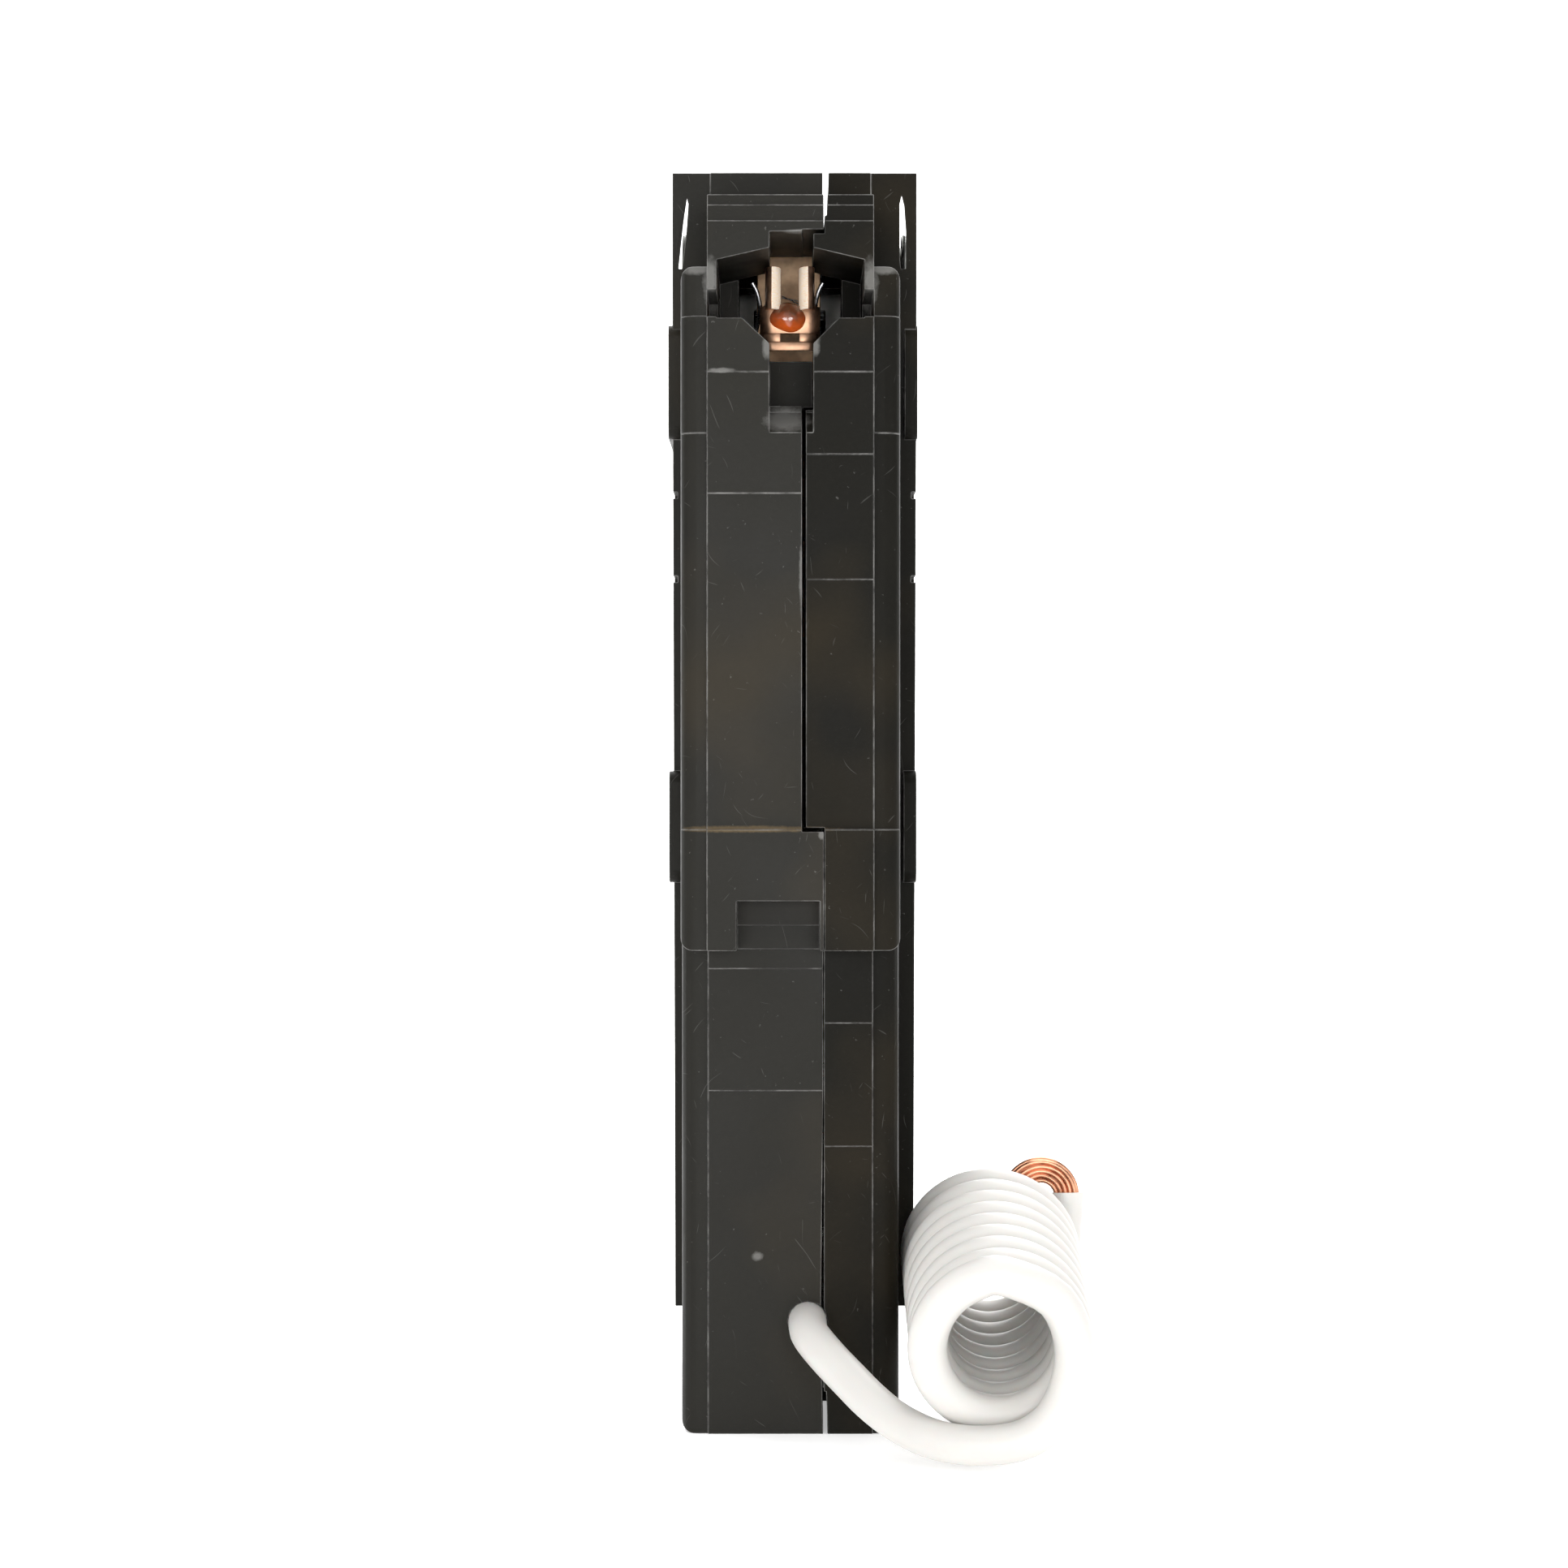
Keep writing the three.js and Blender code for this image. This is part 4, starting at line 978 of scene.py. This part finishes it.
def plan_strip(bm, points, thickness, z0, z1):
    """A strip of even thickness that follows points in x and depth, standing from z0 to z1."""
    def side(offset):
        out = []
        for i, (x, d) in enumerate(points):
            before = Vector(points[max(i - 1, 0)])
            after = Vector(points[min(i + 1, len(points) - 1)])
            along = (after - before).normalized()
            out.append((x - along.y * offset, d + along.x * offset))
        return out

    ring = side(thickness / 2) + side(-thickness / 2)[::-1]
    low = [bm.verts.new(at((x, d, z0))) for x, d in ring]
    high = [bm.verts.new(at((x, d, z1))) for x, d in ring]
    half = len(points)
    count = len(ring)
    for i in range(count):
        bm.faces.new((low[i], low[(i + 1) % count], high[(i + 1) % count], high[i]))
    for level in (low, high):
        for i in range(half - 1):
            bm.faces.new((level[i], level[i + 1], level[count - 2 - i], level[count - 1 - i]))


def arc_points(cx, cd, r, start, end, steps=6):
    """Points of an arc in x and depth, in mm and degrees."""
    out = []
    for i in range(steps + 1):
        angle = math.radians(start + (end - start) * i / steps)
        out.append((cx + r * math.cos(angle), cd + r * math.sin(angle)))
    return out


class BREAKER_OT_jaws(bpy.types.Operator):
    """Stamped jaw clip with its flared blades, varnish run and wire springs"""
    bl_idname = "breaker.jaws"
    bl_label = "Line jaws"

    def execute(self, context):
        copper = stamped_copper("Stamped bare copper, jaw", linear("BE977C"), 0.36)
        amber = self.varnish()
        clip = mesh_from("jaw_clip", self.clip)
        clip.data.materials.append(copper)
        clip.data.materials.append(amber)
        clip.data.materials.append(self.painted_lip_highlight())
        self.soften(clip, 0.05)
        self.add_varnish(clip)
        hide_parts("line_jaw_left", "line_jaw_right")
        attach(clip, "case")
        steel = worked_metal("Drawn spring wire", "B4B6B8", 0.3)
        middle = -0.2
        for side, node in ((-1, "jaw_spring_left"), (1, "jaw_spring_right")):
            arm = [at((middle + side * x, d, z)) for x, d, z in (
                (2.5, 17.2, 83.6), (2.45, 14, 84.2), (2.2, 10.5, 84.8), (2.1, 9.4, 85.4), (2.2, 9.0, 86.1),
                (2.42, 8.8, 86.8), (2.7, 8.7, 87.3))]
            tie = [at((middle + side * x, d, z)) for x, d, z in (
                (2.2, 11.5, 85), (1.2, 12.5, 86.9 if side < 0 else 86.2), (0, 12.8, 86.6),
                (-1, 12.7, 86.1 if side < 0 else 86.7))]
            bow = swept(f"{node}_wire", [through(arm, 6)], mm(0.17), steel)
            fine = swept(f"{node}_tie", [through(tie, 6)], mm(0.05), steel, 6)
            stands_for(joined(bow, fine), node)
        return {"FINISHED"}

    def clip(self, bm):
        """Two flared blades over a folded base, in one strip of copper."""
        middle = -0.03
        for side in (-1, 1):
            blade = [(middle + side * x, d) for x, d in (
                (1.74, 8.6), (1.72, 8.0), (1.6, 7.6), (1.4, 7.5), (1.15, 7.66), (0.95, 8.05), (0.84, 8.7),
                (0.8, 10), (0.84, 13), (0.95, 15), (1.3, 16.6), (1.75, 17.6))]
            plan_strip(bm, blade, 0.3, 85.2, 88.4)
        # The lips' front faces get the third material, a painted highlight that glows.
        for face in bm.faces:
            centre = face.calc_center_median()
            if centre.y / MM + DEPTH / 2 < 8.45 and abs(centre.x / MM - middle) < 1.5:
                face.material_index = 2
        base = ([(middle - 2.1, 17.6), (middle - 2.1, 12)]
                + arc_points(middle - 1.35, 9.25, 0.75, 180, 270)
                + [(middle - 0.72, 8.5), (middle + 0.72, 8.5)]
                + arc_points(middle + 1.35, 9.25, 0.75, 270, 360)
                + [(middle + 2.1, 12), (middle + 2.1, 17.6)])
        plan_strip(bm, base, 0.4, 83.4, 85.5)
        for side in (-1, 1):
            jamb = [(middle + side * 0.72, 8.5), (middle + side * 1.35, 8.5), (middle + side * 1.9, 8.75),
                    (middle + side * 2.1, 9.25), (middle + side * 2.1, 12), (middle + side * 2.1, 17.6)]
            plan_strip(bm, jamb, 0.4, 82.75, 83.4)
        plan_strip(bm, base, 0.4, 82.1, 82.75)

    def soften(self, clip, width):
        cut = clip.modifiers.new("edges", "BEVEL")
        cut.width = mm(width)
        cut.segments = 2
        cut.limit_method = "ANGLE"
        cut.angle_limit = math.radians(40)
        settle(clip)
        smooth(clip, 50)

    def painted_lip_highlight(self):
        """Jaw lips wiped by the stab, with fine rubs: a pale cream that is partly their own colour and partly
        painted highlight, with a glow (emission) in that colour as painted highlight too.
        """
        material, tree = new_material("Tinned copper lip with painted highlight glow")
        rubs = noise(tree, object_point(tree, (1, 1, 8)), 0.3, 2.0)
        tone = blend(tree, spread(tree, rubs, 0.35, 0.7), linear("FFF4E2"), linear("E9CDB2"))
        finish_material(tree, {"Base Color": tone, "Roughness": 0.4, "Emission Color": tone,
                               "Emission Strength": 0.28}, (rubs, mm(0.01)))
        return material

    def varnish(self):
        """Amber insulating varnish: a clear, glossy run, browner above and orange where it gathers."""
        material, tree = new_material("Run amber varnish")
        height = new_node(tree, "ShaderNodeSeparateXYZ", {"Vector": object_point(tree)}).outputs["Z"]
        ripple = math_of(tree, "MULTIPLY", noise(tree, object_point(tree), 0.9, 3.0), mm(1.2))
        mixed = math_of(tree, "ADD", height, ripple)
        tone = blend(tree, spread(tree, mixed, mm(84.4), mm(85.6)), tint(tuple(colours().varnish), 1.9),
                     linear("6E4630"))
        finish_material(tree, {"Base Color": tone, "Roughness": 0.12, "Coat Weight": 0.6, "Coat Roughness": 0.05,
                               "Subsurface Weight": 0.2, "Subsurface Scale": mm(0.5)},
                        (noise(tree, object_point(tree), 0.5, 2.0), mm(0.05)))
        return material

    def add_varnish(self, clip):
        """A bead of varnish bulging from the clip's front between the blades."""
        bm = bmesh.new()
        bm.from_mesh(clip.data)
        bead = bmesh.ops.create_uvsphere(bm, u_segments=28, v_segments=18, radius=1.0)
        middle, half_width, bulge, above, below = (-0.2, 8.5, 84.6), 1.42, 0.8, 1.2, 1.0
        for vert in bead["verts"]:
            x, y, z = vert.co
            if z < 0:  # fuller where it has run down
                x /= max(0.35, math.sqrt(1 - z * z)) ** 0.6
            sag = 0.18 * math.sin(3.0 * x + 1.0) * max(0.0, -z)
            narrow = 1.0 - 0.2 * max(0.0, z)
            vert.co = at((middle[0] + half_width * x * narrow, middle[1] + bulge * y,
                          middle[2] + (above if z > 0 else below) * z - sag))
        faces = {face for vert in bead["verts"] for face in vert.link_faces}
        for face in faces:
            face.material_index = 1
            face.smooth = True
        bm.to_mesh(clip.data)
        bm.free()


# ---------------------------------------------------------------- panel
class BREAKER_PT_panel(bpy.types.Panel):
    """Lists the breaker's pieces"""
    bl_idname = "BREAKER_PT_panel"
    bl_label = "GFCI Breaker"
    bl_space_type = "VIEW_3D"
    bl_region_type = "UI"
    bl_category = "Breaker"

    def draw(self, context):
        for group in (context.scene.breaker_sizes, context.scene.breaker_colours):
            for name in group.__annotations__:
                self.layout.prop(group, name)
        for operator in OPERATORS:
            self.layout.operator(operator.bl_idname)


OPERATORS = (
    BREAKER_OT_stage, BREAKER_OT_pigtail, BREAKER_OT_case, BREAKER_OT_jaws, BREAKER_OT_rivets, BREAKER_OT_terminals,
    BREAKER_OT_springs, BREAKER_OT_fault_module, BREAKER_OT_mechanism,
)
CLASSES = (BreakerSizes, BreakerColours, *OPERATORS, BREAKER_PT_panel)


def register():
    for item in CLASSES:
        bpy.utils.register_class(item)
    bpy.types.Scene.breaker_sizes = bpy.props.PointerProperty(type=BreakerSizes)
    bpy.types.Scene.breaker_colours = bpy.props.PointerProperty(type=BreakerColours)


def unregister():
    del bpy.types.Scene.breaker_colours
    del bpy.types.Scene.breaker_sizes
    for item in reversed(CLASSES):
        bpy.utils.unregister_class(item)


def main():
    register()
    bpy.ops.breaker.stage()
    bpy.ops.breaker.pigtail()
    bpy.ops.breaker.case()
    bpy.ops.breaker.jaws()
    bpy.ops.breaker.rivets()
    bpy.ops.breaker.terminals()
    bpy.ops.breaker.springs()
    bpy.ops.breaker.fault_module()
    bpy.ops.breaker.mechanism()


if __name__ == "__main__":
    main()
